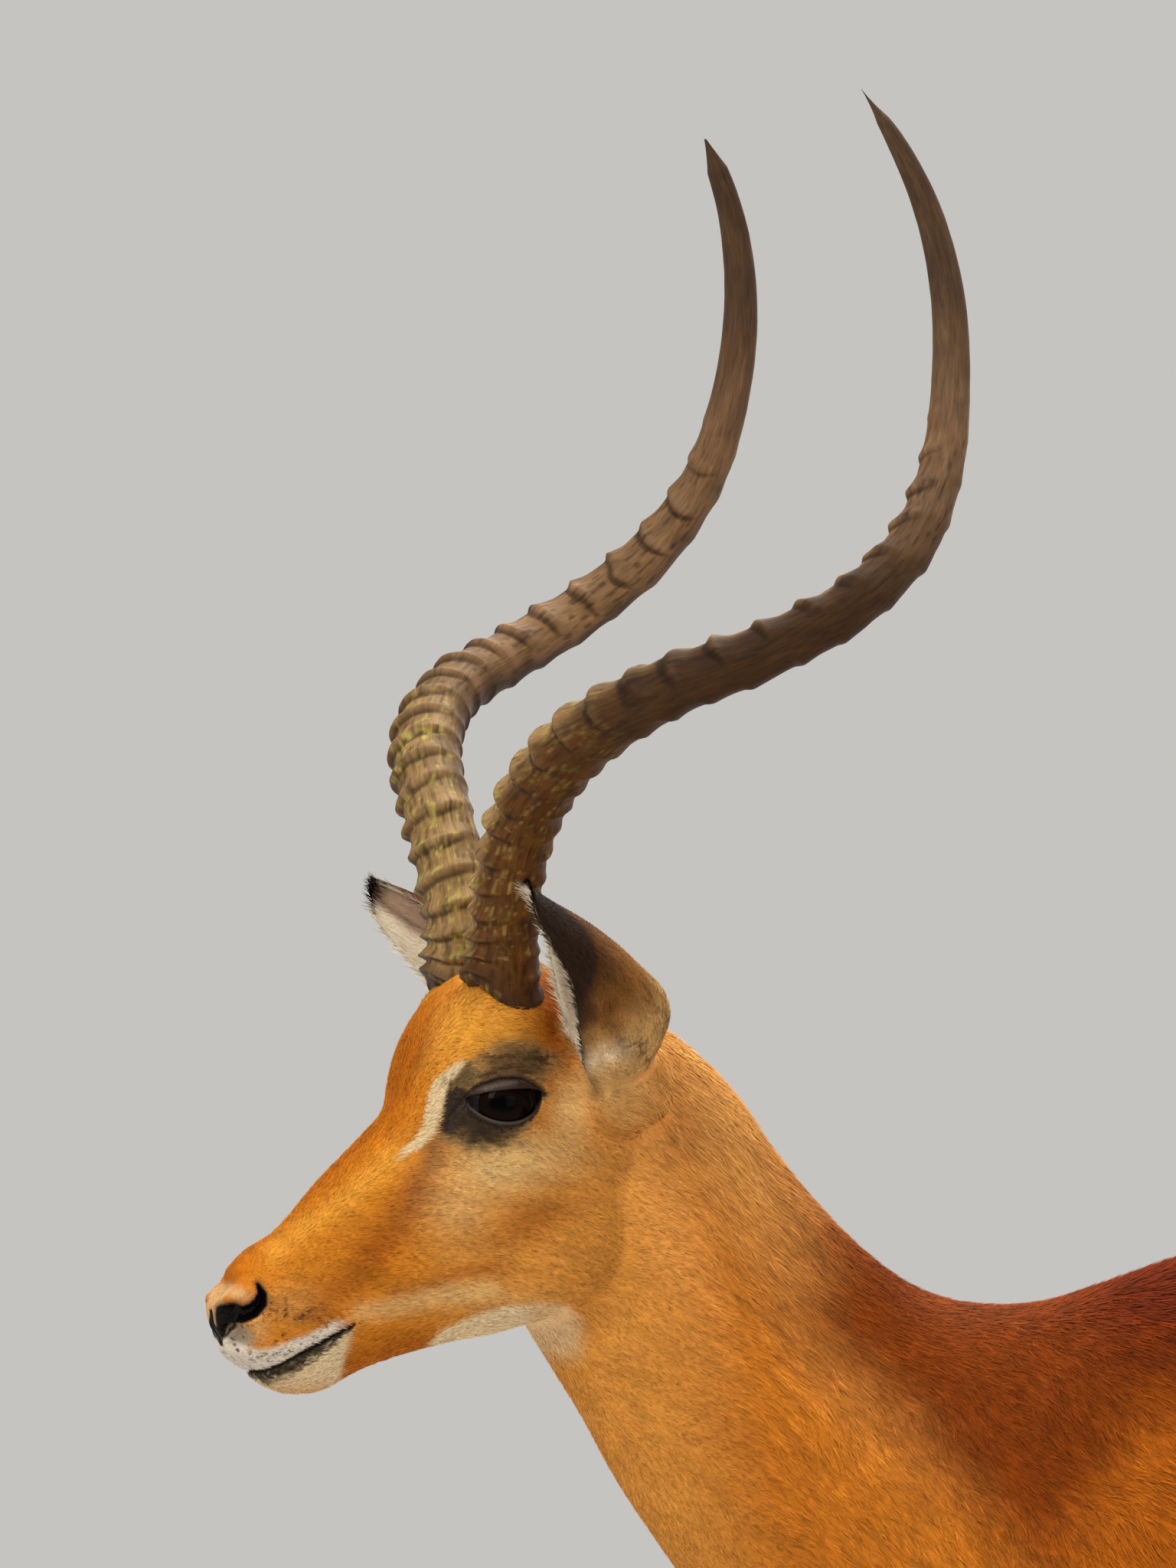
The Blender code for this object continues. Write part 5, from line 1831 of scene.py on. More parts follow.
    def refine(self, skin: Piece) -> None:
        """Adds mesh round the eyes, nostrils and lips."""
        for scale in (1.0, 0.45):
            forward, sideways, up = self.place.head_in(vertices(skin))
            out = np.abs(sideways)
            gap = FACE.eye(forward, up)[0]
            eye = (gap < 0.0165 * scale) & (out > 0.022) & (forward > 0.07)
            nose = (FACE.nostril(forward, out, up) < 0.009 * scale) & (forward > 0.21)
            lips = (FACE.lips(forward, up)[0] < 0.007 * scale) & (forward > 0.17)
            chosen = (eye | nose | lips) & (stored(skin, "ear") < 0.5)
            in_edit_mode(skin, chosen, (bpy.ops.mesh.subdivide, {"number_cuts": 1}))
        forward, sideways, up = self.place.head_in(vertices(skin))
        near = (forward > 0.06) & (up < 0.05) & (stored(skin, "ear") < 0.5)
        smooth_part(skin, near, 3)
        LOG.info("refined: %d faces", len(skin.data.polygons))

    def sculpt_face(self, skin: Piece) -> None:
        """Models the lids, nostrils and lips.

        Args:
            skin: The skin, changed in place.
        """
        forward, sideways, up = self.place.head_in(vertices(skin))
        side = np.where(sideways < 0, -1.0, 1.0)
        face = (forward > 0.05) & (up < 0.06) & (stored(skin, "ear") < 0.5)
        out = self.lids(forward, np.abs(sideways), up, face)
        shaped = self.from_head(forward, out * side, up)
        places = vertices(skin)
        places[face] = shaped[face]
        set_vertices(skin, places)
        forward, sideways, up = self.place.head_in(places)
        out = np.abs(sideways)
        lift = (self.nose(forward, out, up) + self.mouth(forward, up)) * face
        set_vertices(skin, places + normals(skin) * lift[:, None])

    def from_head(self, forward: Array, sideways: Array, up: Array) -> Array:
        """Carries places in the head's frame into the model's."""
        return self.place.head_out(np.column_stack([forward, sideways, up]), 1.0)

    def lids(self, forward: Array, out: Array, up: Array, face: Array) -> Array:
        """Drapes the skin over the eyeball, opens the lids and adds their folds.

        Args:
            forward: Each vertex's distance forward in the head.
            out: Its distance from the middle plane.
            up: Its height.
            face: True on the face.

        Returns:
            The new distances from the middle plane.
        """
        across, rise = forward - EYE_CENTRE[0], up - EYE_CENTRE[2]
        reach = np.hypot(across, rise)
        gap, half, share = FACE.eye(forward, up)
        upper, lower = half > 0, half < 0

        def ball(radius: float) -> Array:
            """How far out a ball round the eye's centre reaches."""
            return EYE_CENTRE[1] + np.sqrt(np.maximum(radius**2 - reach**2, 0.0))

        fold = FACE.fold(share)
        near = face & (reach < 0.04) & (out > 0.015)
        lid = ball(self.eye_radius + 0.0015)
        soft = 0.0012
        top = np.maximum(out, lid)
        draped = top + soft * np.log1p(np.exp(-np.abs(out - lid) / soft))
        draped = out + (draped - out) * step(0.036, 0.026, reach)
        middle = step(-0.05, 0.15, share) * step(1.02, 0.85, share)
        draped += upper * 0.0007 * bump(gap - 0.5 * fold, 0.002) * middle
        draped -= upper * 0.0017 * bump(gap - fold, 0.0009) * middle
        draped += upper * 0.0016 * bump(gap - fold - 0.0038, 0.0034)
        draped += lower * 0.0004 * bump(gap - 0.0009, 0.0008)
        draped -= lower * 0.0007 * bump(gap - 0.0038, 0.0013) * middle
        draped += lower * 0.0008 * bump(gap - 0.008, 0.003)
        draped -= lower * 0.0005 * bump(gap - 0.0125, 0.0012) * middle
        draped -= 0.0015 * bump(FACE.tear(forward, up), 0.002) * (gap > 0)
        hidden = np.where(
            reach < self.eye_radius - 0.003, ball(self.eye_radius - 0.003), draped - 0.0026
        )
        opened = draped + (hidden - draped) * step(0.0002, -0.0008, gap)
        return np.where(near, opened, out)

    @staticmethod
    def nose(forward: Array, out: Array, up: Array) -> Array:
        """How far to raise the skin for the nostrils, their flaps and the cleft between them.

        Args:
            forward: Distance forward in the head.
            out: Distance from the middle plane.
            up: Height in the head.

        Returns:
            One height for each vertex.
        """
        near = (forward > 0.212) & (up < -0.08)
        gap = FACE.nostril(forward, out, up)
        lift = -0.0075 * step(0.0004, -0.003, gap) + 0.0008 * bump(gap - 0.002, 0.0014)
        lift += 0.0022 * oval(forward - 0.2478, up + 0.0965, 0.0065, 0.0046) * (out > 0.006)
        lift += 0.0012 * oval(forward - 0.233, up + 0.101, 0.005, 0.009)
        cleft = bump(out, 0.0013) * step(0.243, 0.25, forward) * step(-0.128, -0.121, up)
        return (lift - 0.0012 * cleft) * near

    @staticmethod
    def mouth(forward: Array, up: Array) -> Array:
        """How far to raise the lips on each side of the line between them."""
        gap, half = FACE.lips(forward, up)
        groove = 0.0024 * bump(gap, 0.0011)
        lip = 0.001 * bump(gap - 0.0032, 0.0026) * np.where(half > 0, 1.0, 0.45)
        return (lip - groove) * (forward > 0.17)

    def sculpt_body(self, skin: Piece) -> None:
        """Adds what bone, muscle and skin folds show on the sides of the head and body.

        Args:
            skin: The skin, changed in place.
        """
        places, facing = vertices(skin), normals(skin)
        x, _, z = (places - self.place.shift).T
        forward, _, up = self.place.head_in(places)
        ear = stored(skin, "ear")
        lift = np.zeros(len(places))
        flat = np.abs(facing[:, 1])
        on_head = step(0.0, 0.04, forward) * (x < -0.2)
        off_head = np.maximum(step(0.01, -0.045, forward), x > -0.2)
        for cx, cz, rx, rz, height in HEAD_FORMS:
            form = oval(forward - cx, up - cz, rx, rz)
            lift += height * form * on_head * step(0.2, 0.6, flat)
        for points, width, height in BODY_LINES:
            lift += height * bump(along_polyline(x, z, points)[0], width) * flat * off_head
        for cx, cz, rx, rz, height in BODY_FORMS:
            lift += height * oval(x - cx, z - cz, rx, rz) * flat * off_head
        lift += 0.001 * noise(places, 0.04, 5) * step(-0.3, -0.1, x) * step(0.5, 0.6, z)
        set_vertices(skin, places + facing * (lift * (1 - ear))[:, None])

    def dress(self, skin: Piece) -> None:
        """Paints the markings and stores where the skin is bare.

        Args:
            skin: The skin, changed in place.
        """
        places = vertices(skin)
        bare = self.markings.bare(places) * (1 - stored(skin, "ear"))
        layer = skin.data.attributes.new("bare", "FLOAT", "POINT")
        layer.data.foreach_set("value", bare.astype(np.float32))
        colours = self.markings.paint(places, normals(skin), ear_places(skin))
        paint(skin, "coat_colour", colours)
        only(skin)
        bpy.ops.object.shade_smooth()


# How far the middle of the muzzle is drawn back at each height: up, distance.
MUZZLE_PROFILE = [
    (-0.153, 0.0), (-0.1484, 0.0045), (-0.1443, 0.008), (-0.1398, 0.0084), (-0.1374, 0.0092),
    (-0.1355, 0.0082), (-0.1333, 0.005), (-0.1312, 0.0024), (-0.1267, 0.0005), (-0.1222, 0.0026),
    (-0.1183, 0.002), (-0.114, 0.0), (-0.105, 0.0), (-0.1017, -0.0008), (-0.099, 0.0018),
    (-0.096, 0.0044), (-0.0923, 0.0052), (-0.088, 0.0012), (-0.085, 0.0),
]

# Soft forms on the sides of the head: forward, up, their half sizes and height.
HEAD_FORMS = [
    (0.14, -0.075, 0.022, 0.022, -0.0022), (0.07, -0.07, 0.03, 0.028, 0.0012),
    (0.112, -0.03, 0.03, 0.006, 0.001), (0.065, 0.02, 0.012, 0.014, -0.002),
    (0.205, -0.088, 0.018, 0.014, -0.001),
]

# Folds and edges on the body: (x, z) along them, their width, and their height.
BODY_LINES = [
    ([(-0.221, 0.852), (-0.213, 0.823)], 0.0035, -0.0016),
    ([(-0.228, 0.819), (-0.225, 0.802)], 0.0035, -0.0014),
    ([(-0.254, 0.849), (-0.246, 0.835)], 0.004, -0.0012),
    ([(-0.174, 0.782), (-0.172, 0.733), (-0.165, 0.69)], 0.009, -0.0022),
    ([(-0.098, 0.88), (-0.148, 0.843), (-0.16, 0.815)], 0.008, -0.0018),
    ([(-0.375, 0.872), (-0.3, 0.8), (-0.235, 0.7)], 0.014, -0.003),
    ([(-0.02, 0.88), (-0.09, 0.76), (-0.165, 0.69)], 0.018, 0.0025),
    ([(0.03, 0.84), (0.045, 0.74), (0.01, 0.66)], 0.02, -0.0035),
    ([(0.3, 0.64), (0.35, 0.7), (0.345, 0.76)], 0.018, -0.003),
]

# Bones and hollows on the body: x, z, half sizes and height.
BODY_FORMS = [
    (0.4, 0.885, 0.022, 0.016, 0.005), (0.345, 0.84, 0.035, 0.028, -0.006),
    (-0.19, 0.7, 0.022, 0.022, 0.003), (0.01, 0.61, 0.016, 0.02, 0.0025),
    (0.565, 0.82, 0.018, 0.018, 0.003), (0.33, 0.61, 0.02, 0.024, 0.0025),
]


# ------------------------------------------------------------------ finishes
def add_node(
    tree: Tree, kind: str, settings: dict | None = None, values: dict | None = None,
    links: dict | None = None,
) -> bpy.types.Node:
    """Adds a node.

    Args:
        tree: The node tree to add it to.
        kind: The node's type, without "ShaderNode".
        settings: Its properties.
        values: Constants for its inputs, by name or number.
        links: What to link to its inputs, by name or number: outputs, or nodes whose first
            output is meant.

    Returns:
        The new node.
    """
    made = tree.nodes.new("ShaderNode" + kind)
    for name, value in (settings or {}).items():
        setattr(made, name, value)
    for name, value in (values or {}).items():
        made.inputs[name].default_value = value
    for name, source in (links or {}).items():
        output = source.outputs[0] if isinstance(source, bpy.types.Node) else source
        tree.links.new(output, made.inputs[name])
    return made


def new_material(name: str) -> tuple[Material, Tree]:
    """An empty material of this name, and its node tree."""
    made = bpy.data.materials.new(name)
    made.use_nodes = True
    made.node_tree.nodes.clear()
    return made, made.node_tree


def set_surface(tree: Tree, values: dict, links: dict) -> None:
    """Ends the tree in one principled shader."""
    shader = add_node(tree, "BsdfPrincipled", None, values, links)
    add_node(tree, "OutputMaterial", None, None, {"Surface": shader})


@dataclass(frozen=True)
class Hide:
    """Hide under short hair, and the bare moist skin of the nose, lids and lips.

    The hair's stretched grain breaks the light softly. Bare skin is smoother and pebbled.
    """

    grain_across: float = 0.0007
    grain_along: float = 0.005
    pebble: float = 0.0012
    hair_roughness: float = 0.8
    bare_roughness: float = 0.34

    def make(self) -> Material:
        """Builds the material.

        Returns:
            The new material.
        """
        made, tree = new_material("short_haired_hide")
        colour = add_node(tree, "Attribute", {"attribute_name": "coat_colour"})
        bare = add_node(tree, "Attribute", {"attribute_name": "bare"})
        where = add_node(tree, "TexCoord")
        stretch = (1 / self.grain_along, 1 / self.grain_across, 1 / self.grain_across)
        mapped = add_node(
            tree, "Mapping", {"vector_type": "TEXTURE"},
            {"Rotation": (0, 0, HEAD_YAW), "Scale": tuple(1 / s for s in stretch)},
            {"Vector": where.outputs["Object"]},
        )
        grain = add_node(
            tree, "TexNoise", None, {"Scale": 1.0, "Detail": 3.0, "Roughness": 0.6},
            {"Vector": mapped},
        )
        pebbles = add_node(
            tree, "TexVoronoi", {"feature": "F1"}, {"Scale": 1 / self.pebble},
            {"Vector": where.outputs["Object"]},
        )
        shade = add_node(
            tree, "MapRange", None,
            {"From Min": 0.3, "From Max": 0.7, "To Min": 0.8, "To Max": 1.16}, {"Value": grain},
        )
        tinted = add_node(
            tree, "VectorMath", {"operation": "SCALE"}, None, {0: colour, "Scale": shade}
        )
        rough = add_node(
            tree, "MapRange", None, {"To Min": self.hair_roughness, "To Max": self.bare_roughness},
            {"Value": bare.outputs["Fac"]},
        )
        height = add_node(
            tree, "Mix", {"data_type": "FLOAT"}, None,
            {0: bare.outputs["Fac"], 2: grain, 3: pebbles},
        )
        relief = add_node(
            tree, "Bump", None, {"Strength": 0.55, "Distance": 0.0004}, {"Height": height}
        )
        set_surface(
            tree, {"IOR": 1.45, "Specular IOR Level": 0.14},
            {"Base Color": tinted, "Roughness": rough, "Normal": relief},
        )
        return made


@dataclass(frozen=True)
class Hair:
    """Short sleek hair: keratin with a soft gleam along its lie."""

    roughness: float = 0.72
    gleam: float = 0.07

    def make(self) -> Material:
        """Builds the material."""
        made, tree = new_material("sleek_hair")
        colour = add_node(tree, "Attribute", {"attribute_name": "coat_colour"})
        set_surface(
            tree, {"Roughness": self.roughness, "IOR": 1.55, "Specular IOR Level": self.gleam},
            {"Base Color": colour},
        )
        return made


@dataclass(frozen=True)
class HornKeratin:
    """Ringed horn: weathered grey-brown keratin with a fine grain that runs to the tip."""

    grain: float = 0.0011
    roughness: float = 0.58

    def make(self) -> Material:
        """Builds the material.

        Returns:
            The new material.
        """
        made, tree = new_material("weathered_horn_keratin")
        colour = add_node(tree, "Attribute", {"attribute_name": "horn_colour"})
        fibre = add_node(tree, "Attribute", {"attribute_name": "fibre"})
        grain = add_node(
            tree, "TexNoise", None, {"Scale": 1 / self.grain, "Detail": 4.0, "Roughness": 0.62},
            {"Vector": fibre.outputs["Vector"]},
        )
        shade = add_node(
            tree, "MapRange", None,
            {"From Min": 0.3, "From Max": 0.7, "To Min": 0.7, "To Max": 1.25}, {"Value": grain},
        )
        tinted = add_node(
            tree, "VectorMath", {"operation": "SCALE"}, None, {0: colour, "Scale": shade}
        )
        relief = add_node(
            tree, "Bump", None, {"Strength": 0.7, "Distance": 0.0005}, {"Height": grain}
        )
        set_surface(
            tree, {"Roughness": self.roughness, "IOR": 1.55, "Specular IOR Level": 0.1},
            {"Base Color": tinted, "Normal": relief},
        )
        return made


@dataclass(frozen=True)
class WetEye:
    """The eye: a dark iris and pupil under a clear tear film that mirrors the light."""

    roughness: float = 0.12

    def make(self) -> Material:
        """Builds the material."""
        made, tree = new_material("wet_dark_eye")
        colour = add_node(tree, "Attribute", {"attribute_name": "eye_colour"})
        values = {
            "Roughness": self.roughness, "IOR": 1.38, "Specular IOR Level": 0.02,
            "Coat Weight": 0.06, "Coat Roughness": 0.06, "Coat IOR": 1.34,
        }
        set_surface(tree, values, {"Base Color": colour})
        return made


@dataclass(frozen=True)
class HoofKeratin:
    """Hoof: near-black keratin with low growth rings and a dull shine."""

    ring: float = 0.0032
    dark: str = "2b2520"
    light: str = "4a4038"

    def make(self) -> Material:
        """Builds the material.

        Returns:
            The new material.
        """
        made, tree = new_material("hoof_keratin")
        where = add_node(tree, "TexCoord")
        mapped = add_node(
            tree, "Mapping", None,
            {"Rotation": (0, math.radians(15), 0), "Scale": (0.15, 0.15, 1.0)},
            {"Vector": where.outputs["Object"]},
        )
        rings = add_node(
            tree, "TexNoise", None, {"Scale": 1 / self.ring, "Detail": 3.0}, {"Vector": mapped}
        )
        ringed = add_node(
            tree, "Mix", {"data_type": "RGBA"},
            {6: (*linear(self.dark), 1), 7: (*linear(self.light), 1)}, {0: rings},
        )
        relief = add_node(
            tree, "Bump", None, {"Strength": 0.6, "Distance": 0.0008}, {"Height": rings}
        )
        set_surface(
            tree, {"Roughness": 0.42, "IOR": 1.55},
            {"Base Color": ringed.outputs[2], "Normal": relief},
        )
        return made


# ------------------------------------------------------------------ horns, eyes, hooves
@dataclass
class Horn:
    """A lyre horn with sharp rings that fade into a smooth tip."""

    place: Place
    rows: int = 520
    columns: int = 72
    rings_end: float = 0.745
    spacing_at: tuple = (0.0, 0.06, 0.12, 0.25, 0.42, 0.6, 0.74)
    spacing: tuple = (0.0125, 0.015, 0.018, 0.0205, 0.0255, 0.027, 0.022)
    ring_height: float = 0.185
    worn: dict = field(default_factory=lambda: {"left": 1.0, "right": 0.965})

    def build(self, hand: str) -> Piece:
        """Builds one horn.

        Args:
            hand: "left" or "right".

        Returns:
            The horn with its colours and fibre stored.
        """
        side = SIDES[hand]
        line = np.array([p for p, _ in HORN_LINE])
        steps = np.linalg.norm(np.diff(line, axis=0), axis=1)
        at = np.concatenate([[0.0], np.cumsum(steps)])
        total = at[-1]
        table = np.column_stack([line, [r for _, r in HORN_LINE]])
        curve = smooth_through(table, at, self.rows)
        share = np.linspace(0, 1, self.rows)
        stop = int(np.searchsorted(share, self.worn[hand])) if self.worn[hand] < 1 else self.rows
        centres = self.place.head_out(curve[:, :3], side)
        across, other = self.frames(centres)
        front = self.place.way((1.0, 0.15, 0.35), side)
        aim = np.arctan2(other @ front, across @ front)
        angle = 2 * math.pi * np.arange(self.columns) / self.columns
        pitch = np.interp(share, self.spacing_at, self.spacing)
        phase = np.cumsum(np.full(self.rows, total / (self.rows - 1)) / pitch)
        inner_front = self.place.way((1.0, -0.45, 0.3), side)
        knobs = np.arctan2(other @ inner_front, across @ inner_front)
        facing = np.cos(angle[None, :] - knobs[:, None])
        turned = phase[:, None] + 0.26 * facing
        spots = np.stack(np.broadcast_arrays(
            curve[:, 3:4] * np.cos(angle), curve[:, 3:4] * np.sin(angle), share[:, None] * total
        ), axis=-1).reshape(-1, 3)
        rough = noise(spots, 0.011, 41).reshape(turned.shape)
        fine = noise(spots * [1, 1, 0.5], 0.0035, 42).reshape(turned.shape)
        turned = turned + 0.13 * rough
        past = turned - np.rint(turned)
        below, above = np.clip(1 + past / 0.22, 0, 1), np.clip(1 - past / 0.5, 0, 1) ** 1.5
        crest = np.where(past < 0, below * below * (3 - 2 * below), above)
        shadow = bump(past + 0.2, 0.085)
        fade = step(self.rings_end + 0.02, self.rings_end - 0.12, share)[:, None]
        strength = (0.13 + 0.87 * step(-0.2, 0.8, facing)) * fade * (1 + 0.25 * rough)
        strength = strength + 0.24 * fade * step(-0.45, -0.9, facing)
        groove = 0.5 - 0.5 * np.cos(2 * np.pi * (turned - 0.5))
        wrinkle = 0.014 * fine + 0.016 * rough * fade - 0.02 * (1 - groove) * fade
        low = step(0.2, 0.05, share)[:, None]
        wrinkle = wrinkle + 0.03 * low * noise(
            spots * [0.6, 0.6, 2.2], 0.007, 45
        ).reshape(turned.shape)
        size = 0.955 + self.ring_height * crest * strength + wrinkle
        end = np.minimum(1.0, 0.1 + 30 * np.maximum(0.0, self.worn[hand] - share))[:, None]
        radius = curve[:, 3:4] * size * end
        ahead = np.cos(angle[None, :] - aim[:, None])
        foot = np.clip(1 - share / 0.075, 0, 1)[:, None] ** 1.3
        lift = foot * (0.0165 * np.clip(ahead, 0, 1) ** 1.6 + 0.006 * np.clip(-ahead, 0, 1) ** 2)
        radius = radius * (1 - 0.1 * np.clip(1 - share / 0.006, 0, 1)[:, None] ** 2)
        along = unit(np.gradient(centres, axis=0))
        rings = (
            centres[:, None]
            + across[:, None] * (radius * np.cos(angle))[..., None]
            + other[:, None] * (radius * np.sin(angle))[..., None]
            + along[:, None] * lift[..., None]
        )
        obj = tube(f"horn_{hand}_ringed", rings[:stop])
        ring_way = (
            across[:, None] * np.cos(angle)[..., None] + other[:, None] * np.sin(angle)[..., None]
        )
        medial = ring_way @ self.place.way((0.45, -0.85, 0.25), side)
        rings_seen = (crest * strength, shadow * strength)
        colours = self.colours(share, rings_seen, rough, fine, medial, spots)
        stretched = (spots * [1.0, 1.0, 0.1]).reshape(*rings.shape)
        values = {"fibre": stretched[:stop], "horn_tone": colours[:stop]}
        store_rings(obj, rings[:stop], values)
        tone = np.empty(len(obj.data.vertices) * 3, np.float32)
        obj.data.attributes["horn_tone"].data.foreach_get("vector", tone)
        paint(obj, "horn_colour", tone.reshape(-1, 3).astype(float))
        obj.data.attributes.remove(obj.data.attributes["horn_tone"])
        return obj

    @staticmethod
    def frames(centres: Array) -> tuple[Array, Array]:
        """Two directions square to the horn's line at each place, without twist."""
        along = unit(np.gradient(centres, axis=0))
        across, other = [], []
        last = np.array([0.0, 1.0, 0.0])
        for direction in along:
            last = last - direction * last.dot(direction)
            last = last / np.linalg.norm(last)
            across.append(last)
            other.append(np.cross(direction, last))
        return np.array(across), np.array(other)

    @staticmethod
    def colours(
        share: Array, rings: tuple, rough: Array, fine: Array, medial: Array, spots: Array
    ) -> Array:
        """Dark outside, paler as painted light where the horns face each other, with lichen low on
        the front.

        Args:
            share: The share of the horn's length.
            rings: How far each place is on a ring's crest, and in its shadow.
            rough: Coarse noise.
            fine: Fine noise.
            medial: How far each place faces the other horn.
            spots: Places on the unrolled horn.

        Returns:
            Rows of linear colours.
        """
        shape = rough.shape
        share = np.broadcast_to(share[:, None], shape).ravel()
        crest, shadow = (ring.ravel() for ring in rings)
        rough, fine, medial = rough.ravel(), fine.ravel(), medial.ravel()
        # Painted light: the side that faces the other horn is laid paler, as if lit.
        pale = step(0.0, 0.8, medial + 0.15 * rough)
        dye = Dye.of("56330f", len(share))
        dye.lay("38220c", step(0.15, 0.4, share))
        dye.lay("71543a", step(0.5, 0.72, share))
        upper = step(0.22, 0.42, share)[:, None]
        inner = linear("907147") * (1 - upper) + linear("80603f") * upper
        dye.rows = mix(dye.rows, inner, pale * step(0.8, 0.5, share) * 0.9)
        dye.lay("3b2819", step(0.66, 0.86, share) * 0.85)
        # Painted highlight on each ring's crest, and painted shadow in the line under it.
        dye.lay("7c6248", step(0.5, 1.0, crest) * (0.15 + 0.3 * pale))
        dye.lay("1e130b", step(0.1, 0.9, shadow) * 0.7)
        dye.lay("2b1c12", step(0.035, 0.0, share) * 0.6)
        speck = step(0.25, 0.6, noise(spots, 0.005, 43) * 0.5 + noise(spots, 0.0018, 44) * 0.7)
        place = step(0.02, 0.05, share) * step(0.36, 0.22, share) * (0.15 + 0.85 * pale)
        dye.lay("a89a48", speck * place * 0.85)
        streaks = noise(spots * [1.0, 1.0, 0.1], 0.0016, 46)
        cracks = step(
            0.3, 0.6, noise(spots * [1.0, 1.0, 0.16], 0.0012, 47)
        ) * step(0.8, 0.6, share)
        dye.lay("20140b", cracks * 0.55)
        chips = step(0.45, 0.7, noise(spots * [1.0, 1.0, 0.22], 0.001, 48)) * step(0.4, 0.1, share)
        dye.lay("a5864a", chips * 0.45)
        tinted = dye.rows * np.exp(0.24 * streaks + 0.16 * rough + 0.1 * fine)[:, None]
        return tinted.reshape(*shape, 3)


@dataclass
class Eye:
    """An eyeball with a clear bulge, a wide dark iris and a level oval pupil."""

    place: Place
    gaze: tuple = (0.26, 0.96, 0.02)
    iris: float = 0.0125
    pupil: tuple = (0.0068, 0.0038)
    bulge: float = 0.0008

    def build(self, hand: str) -> Piece:
        """Builds one eye.

        Args:
            hand: "left" or "right".

        Returns:
            The eye with its colours stored.
        """
        side = SIDES[hand]
        centre = self.place.head_out(EYE_CENTRE, side)
        ahead = self.place.way(self.gaze, side)
        turn = Vector(ahead).to_track_quat("Z", "Y").to_euler()
        deselect()
        bpy.ops.mesh.primitive_uv_sphere_add(
            segments=96, ring_count=64, radius=EYE_RADIUS, location=tuple(centre), rotation=turn
        )
        obj = bpy.context.object
        obj.name = f"eyeball_{hand}"
        bpy.ops.object.transform_apply(location=True, rotation=True, scale=True)
        bpy.ops.object.shade_smooth()
        places = vertices(obj)
        ray = unit(places - centre)
        level = unit(np.cross([0.0, 0.0, 1.0], ahead)[None])[0]
        upward = np.cross(ahead, level)
        wide, tall = ray @ level * EYE_RADIUS, ray @ upward * EYE_RADIUS
        off = np.where(ray @ ahead > 0, np.hypot(wide, tall), 0.03)
        rise = self.bulge * step(self.iris + 0.002, self.iris * 0.5, off)
        set_vertices(obj, places + ray * rise[:, None])
        dye = Dye.of("080403", len(places))
        dye.lay("100604", step(self.iris + 0.0006, self.iris - 0.0006, off))
        pupil = np.hypot(wide / self.pupil[0], tall / self.pupil[1])
        dye.lay("020101", step(1.12, 0.95, pupil) * (off < 0.02))
        paint(obj, "eye_colour", dye.rows)
        return obj


@dataclass
class Hoof:
    """One claw of a cloven hoof, its edges worn round."""

    edge: float = 0.0014

    def build(self, node: str) -> Piece:
        """Copies the model's claw, joins its faces and rounds its edges.

        Args:
            node: The claw's node in the model.

        Returns:
            The new hoof.
        """
        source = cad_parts[node]
        obj = bpy.data.objects.new(f"{node}_worn", source.data.copy())
        bpy.context.scene.collection.objects.link(obj)
        everything = np.ones(len(obj.data.vertices), bool)
        in_edit_mode(
            obj, everything, (bpy.ops.mesh.remove_doubles, {"threshold": 2e-5}),
            (bpy.ops.mesh.dissolve_limited, {"angle_limit": math.radians(2)}),
        )
        apply(obj, "BEVEL", width=self.edge, segments=2, limit_method="ANGLE", angle_limit=0.6)
        apply(obj, "SUBSURF", levels=2, render_levels=2)
        only(obj)
        bpy.ops.object.shade_smooth()
        return obj


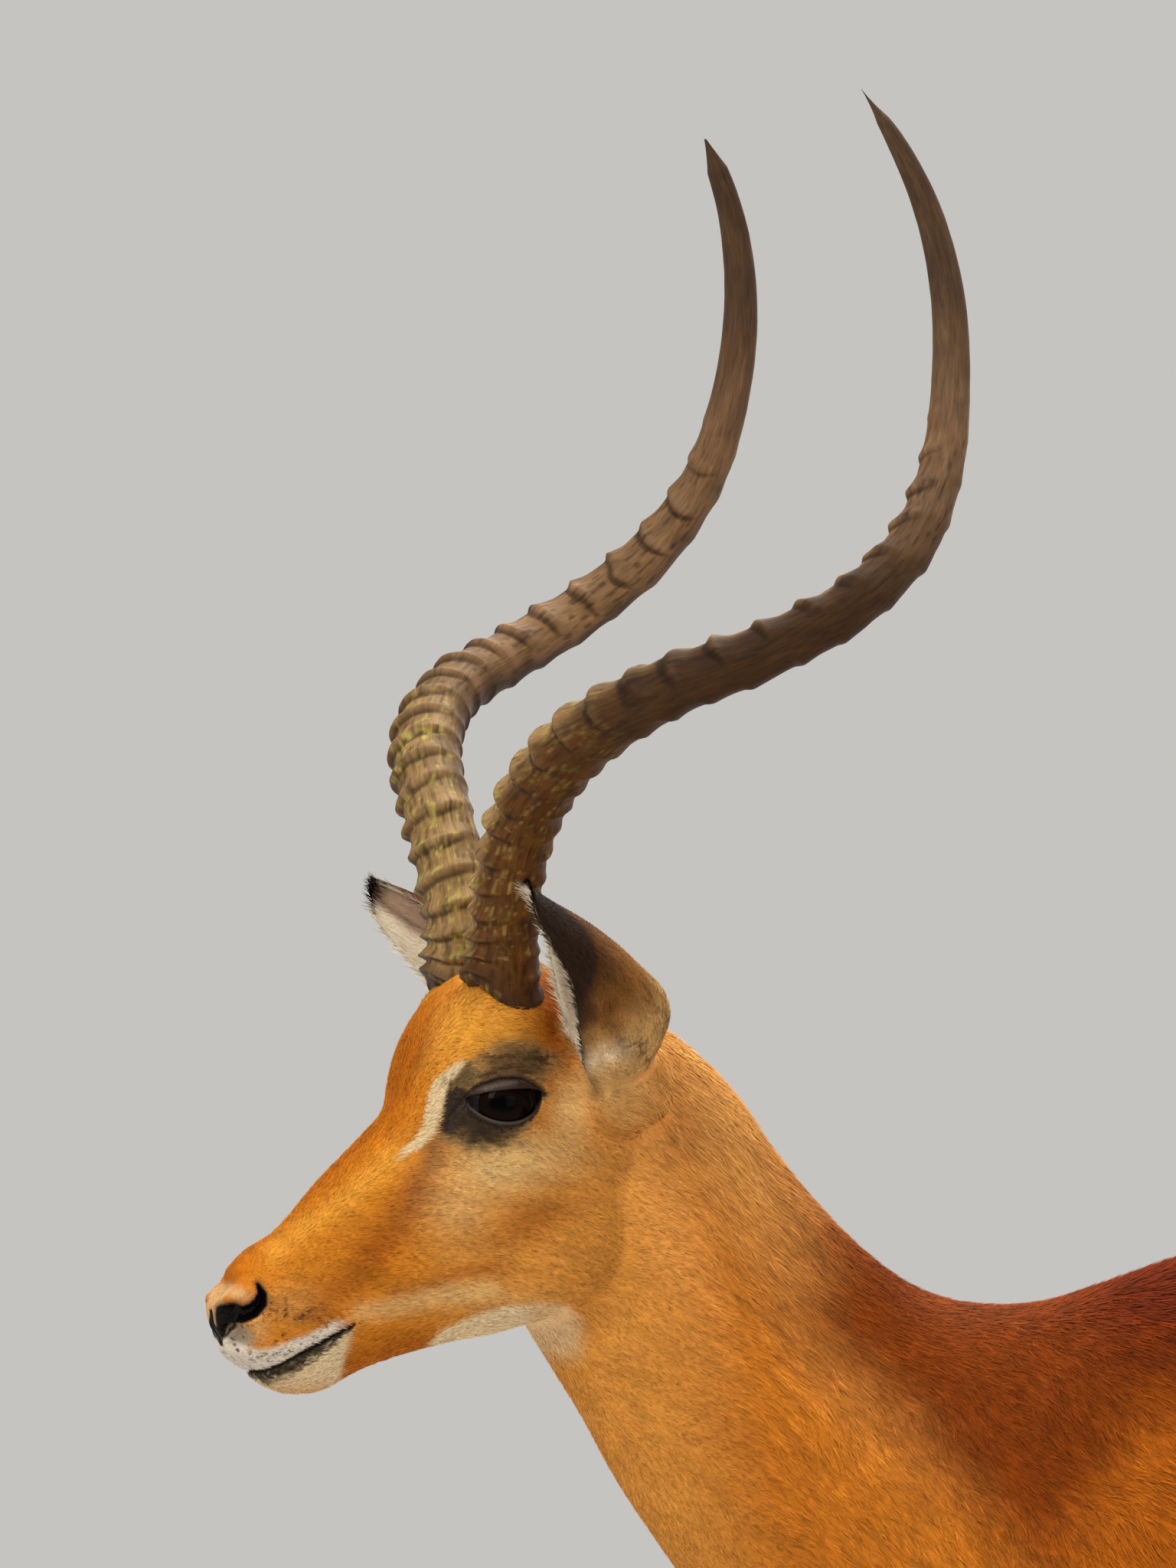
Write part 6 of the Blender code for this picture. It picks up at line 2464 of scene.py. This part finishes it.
# ------------------------------------------------------------------ studio
@dataclass
class Studio:
    """A pale floor, soft lights, and a camera level with the head, square to the neck."""

    place: Place
    look_at: tuple = (-0.39, -0.05, 1.153)
    distance: float = 14.0
    seen_height: float = 0.84
    floor: str = "b0b0b0"
    world: str = "f4f2ee"
    glow: float = 0.62
    lights: tuple = (
        ("key", (-3.4, -3.6, 4.2), 2.6, 195.0, (1.0, 0.97, 0.92)),
        ("fill", (2.8, -4.6, 2.0), 3.2, 46.0, (0.96, 0.98, 1.0)),
        ("top", (0.6, 1.2, 4.6), 3.0, 195.0, (1.0, 0.98, 0.95)),
        ("back", (0.5, 4.4, 2.6), 3.0, 90.0, (1.0, 0.98, 0.95)),
    )

    def build(self) -> None:
        """Lays the floor, hangs the lights and sets the camera."""
        deselect()
        bpy.ops.mesh.primitive_plane_add(size=2000.0)
        floor = bpy.context.object
        floor.name = "floor"
        made, tree = new_material("matt_pale_floor")
        lost = 1 - float(linear(self.floor)[0])
        values = {
            "Base Color": (*linear(self.floor), 1), "Roughness": 0.9, "Specular IOR Level": 0.0,
            "Emission Color": (*linear(self.world), 1), "Emission Strength": self.glow * lost,
        }
        set_surface(tree, values, {})
        floor.data.materials.append(made)
        target = Vector(np.array(self.look_at) + self.place.shift)
        for name, where, size, power, colour in self.lights:
            light = bpy.data.lights.new(name, "AREA")
            light.size, light.energy, light.color = size, power, colour
            lamp = bpy.data.objects.new(name, light)
            lamp.location = where
            lamp.rotation_euler = (target - lamp.location).to_track_quat("-Z", "Y").to_euler()
            bpy.context.scene.collection.objects.link(lamp)
        scene = bpy.context.scene
        scene.world = bpy.data.worlds.new("studio")
        scene.world.use_nodes = True
        glow = scene.world.node_tree.nodes["Background"]
        glow.inputs["Color"].default_value = (*linear(self.world), 1)
        glow.inputs["Strength"].default_value = self.glow
        scene.view_settings.view_transform = "Standard"
        lens = bpy.data.cameras.new("camera")
        lens.sensor_fit = "AUTO"
        lens.sensor_width = 36.0
        lens.lens = lens.sensor_width * self.distance / self.seen_height
        lens.clip_end = 5000.0
        camera = bpy.data.objects.new("camera", lens)
        camera.location = target - Vector((0, self.distance, 0))
        camera.rotation_euler = (math.radians(90), 0, 0)
        scene.collection.objects.link(camera)
        scene.camera = camera


# ------------------------------------------------------------------ everything
def main() -> None:
    """Builds the impala and its studio, piece by piece."""
    logging.basicConfig(level=logging.INFO, format="%(relativeCreated)d %(name)s: %(message)s")
    deselect()
    place = Place()
    markings = Markings(place)
    coat = Coat(place, markings)
    skin = Skin(place, coat, markings).build()
    keep(skin, Hide().make())
    limbs = [f"{kind}_{hand}" for kind in ("ear", "foreleg", "hindleg") for hand in SIDES]
    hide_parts("head", "neck", "trunk", "tail", *limbs)
    coat.grow(skin)
    hair = Hair().make()
    for piece in coat.pieces:
        keep(piece, hair)
    keratin, wet, worn = HornKeratin().make(), WetEye().make(), HoofKeratin().make()
    for hand in SIDES:
        horn = Horn(place).build(hand)
        keep(horn, keratin)
        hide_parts(f"horn_{hand}")
        eye = Eye(place).build(hand)
        keep(eye, wet)
        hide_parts(f"eye_{hand}")
    for node in sorted(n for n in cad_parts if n.startswith("claw_")):
        hoof = Hoof().build(node)
        keep(hoof, worn)
        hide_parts(node)
    Studio(place).build()
    bpy.context.view_layer.update()


if __name__ == "__main__":
    main()
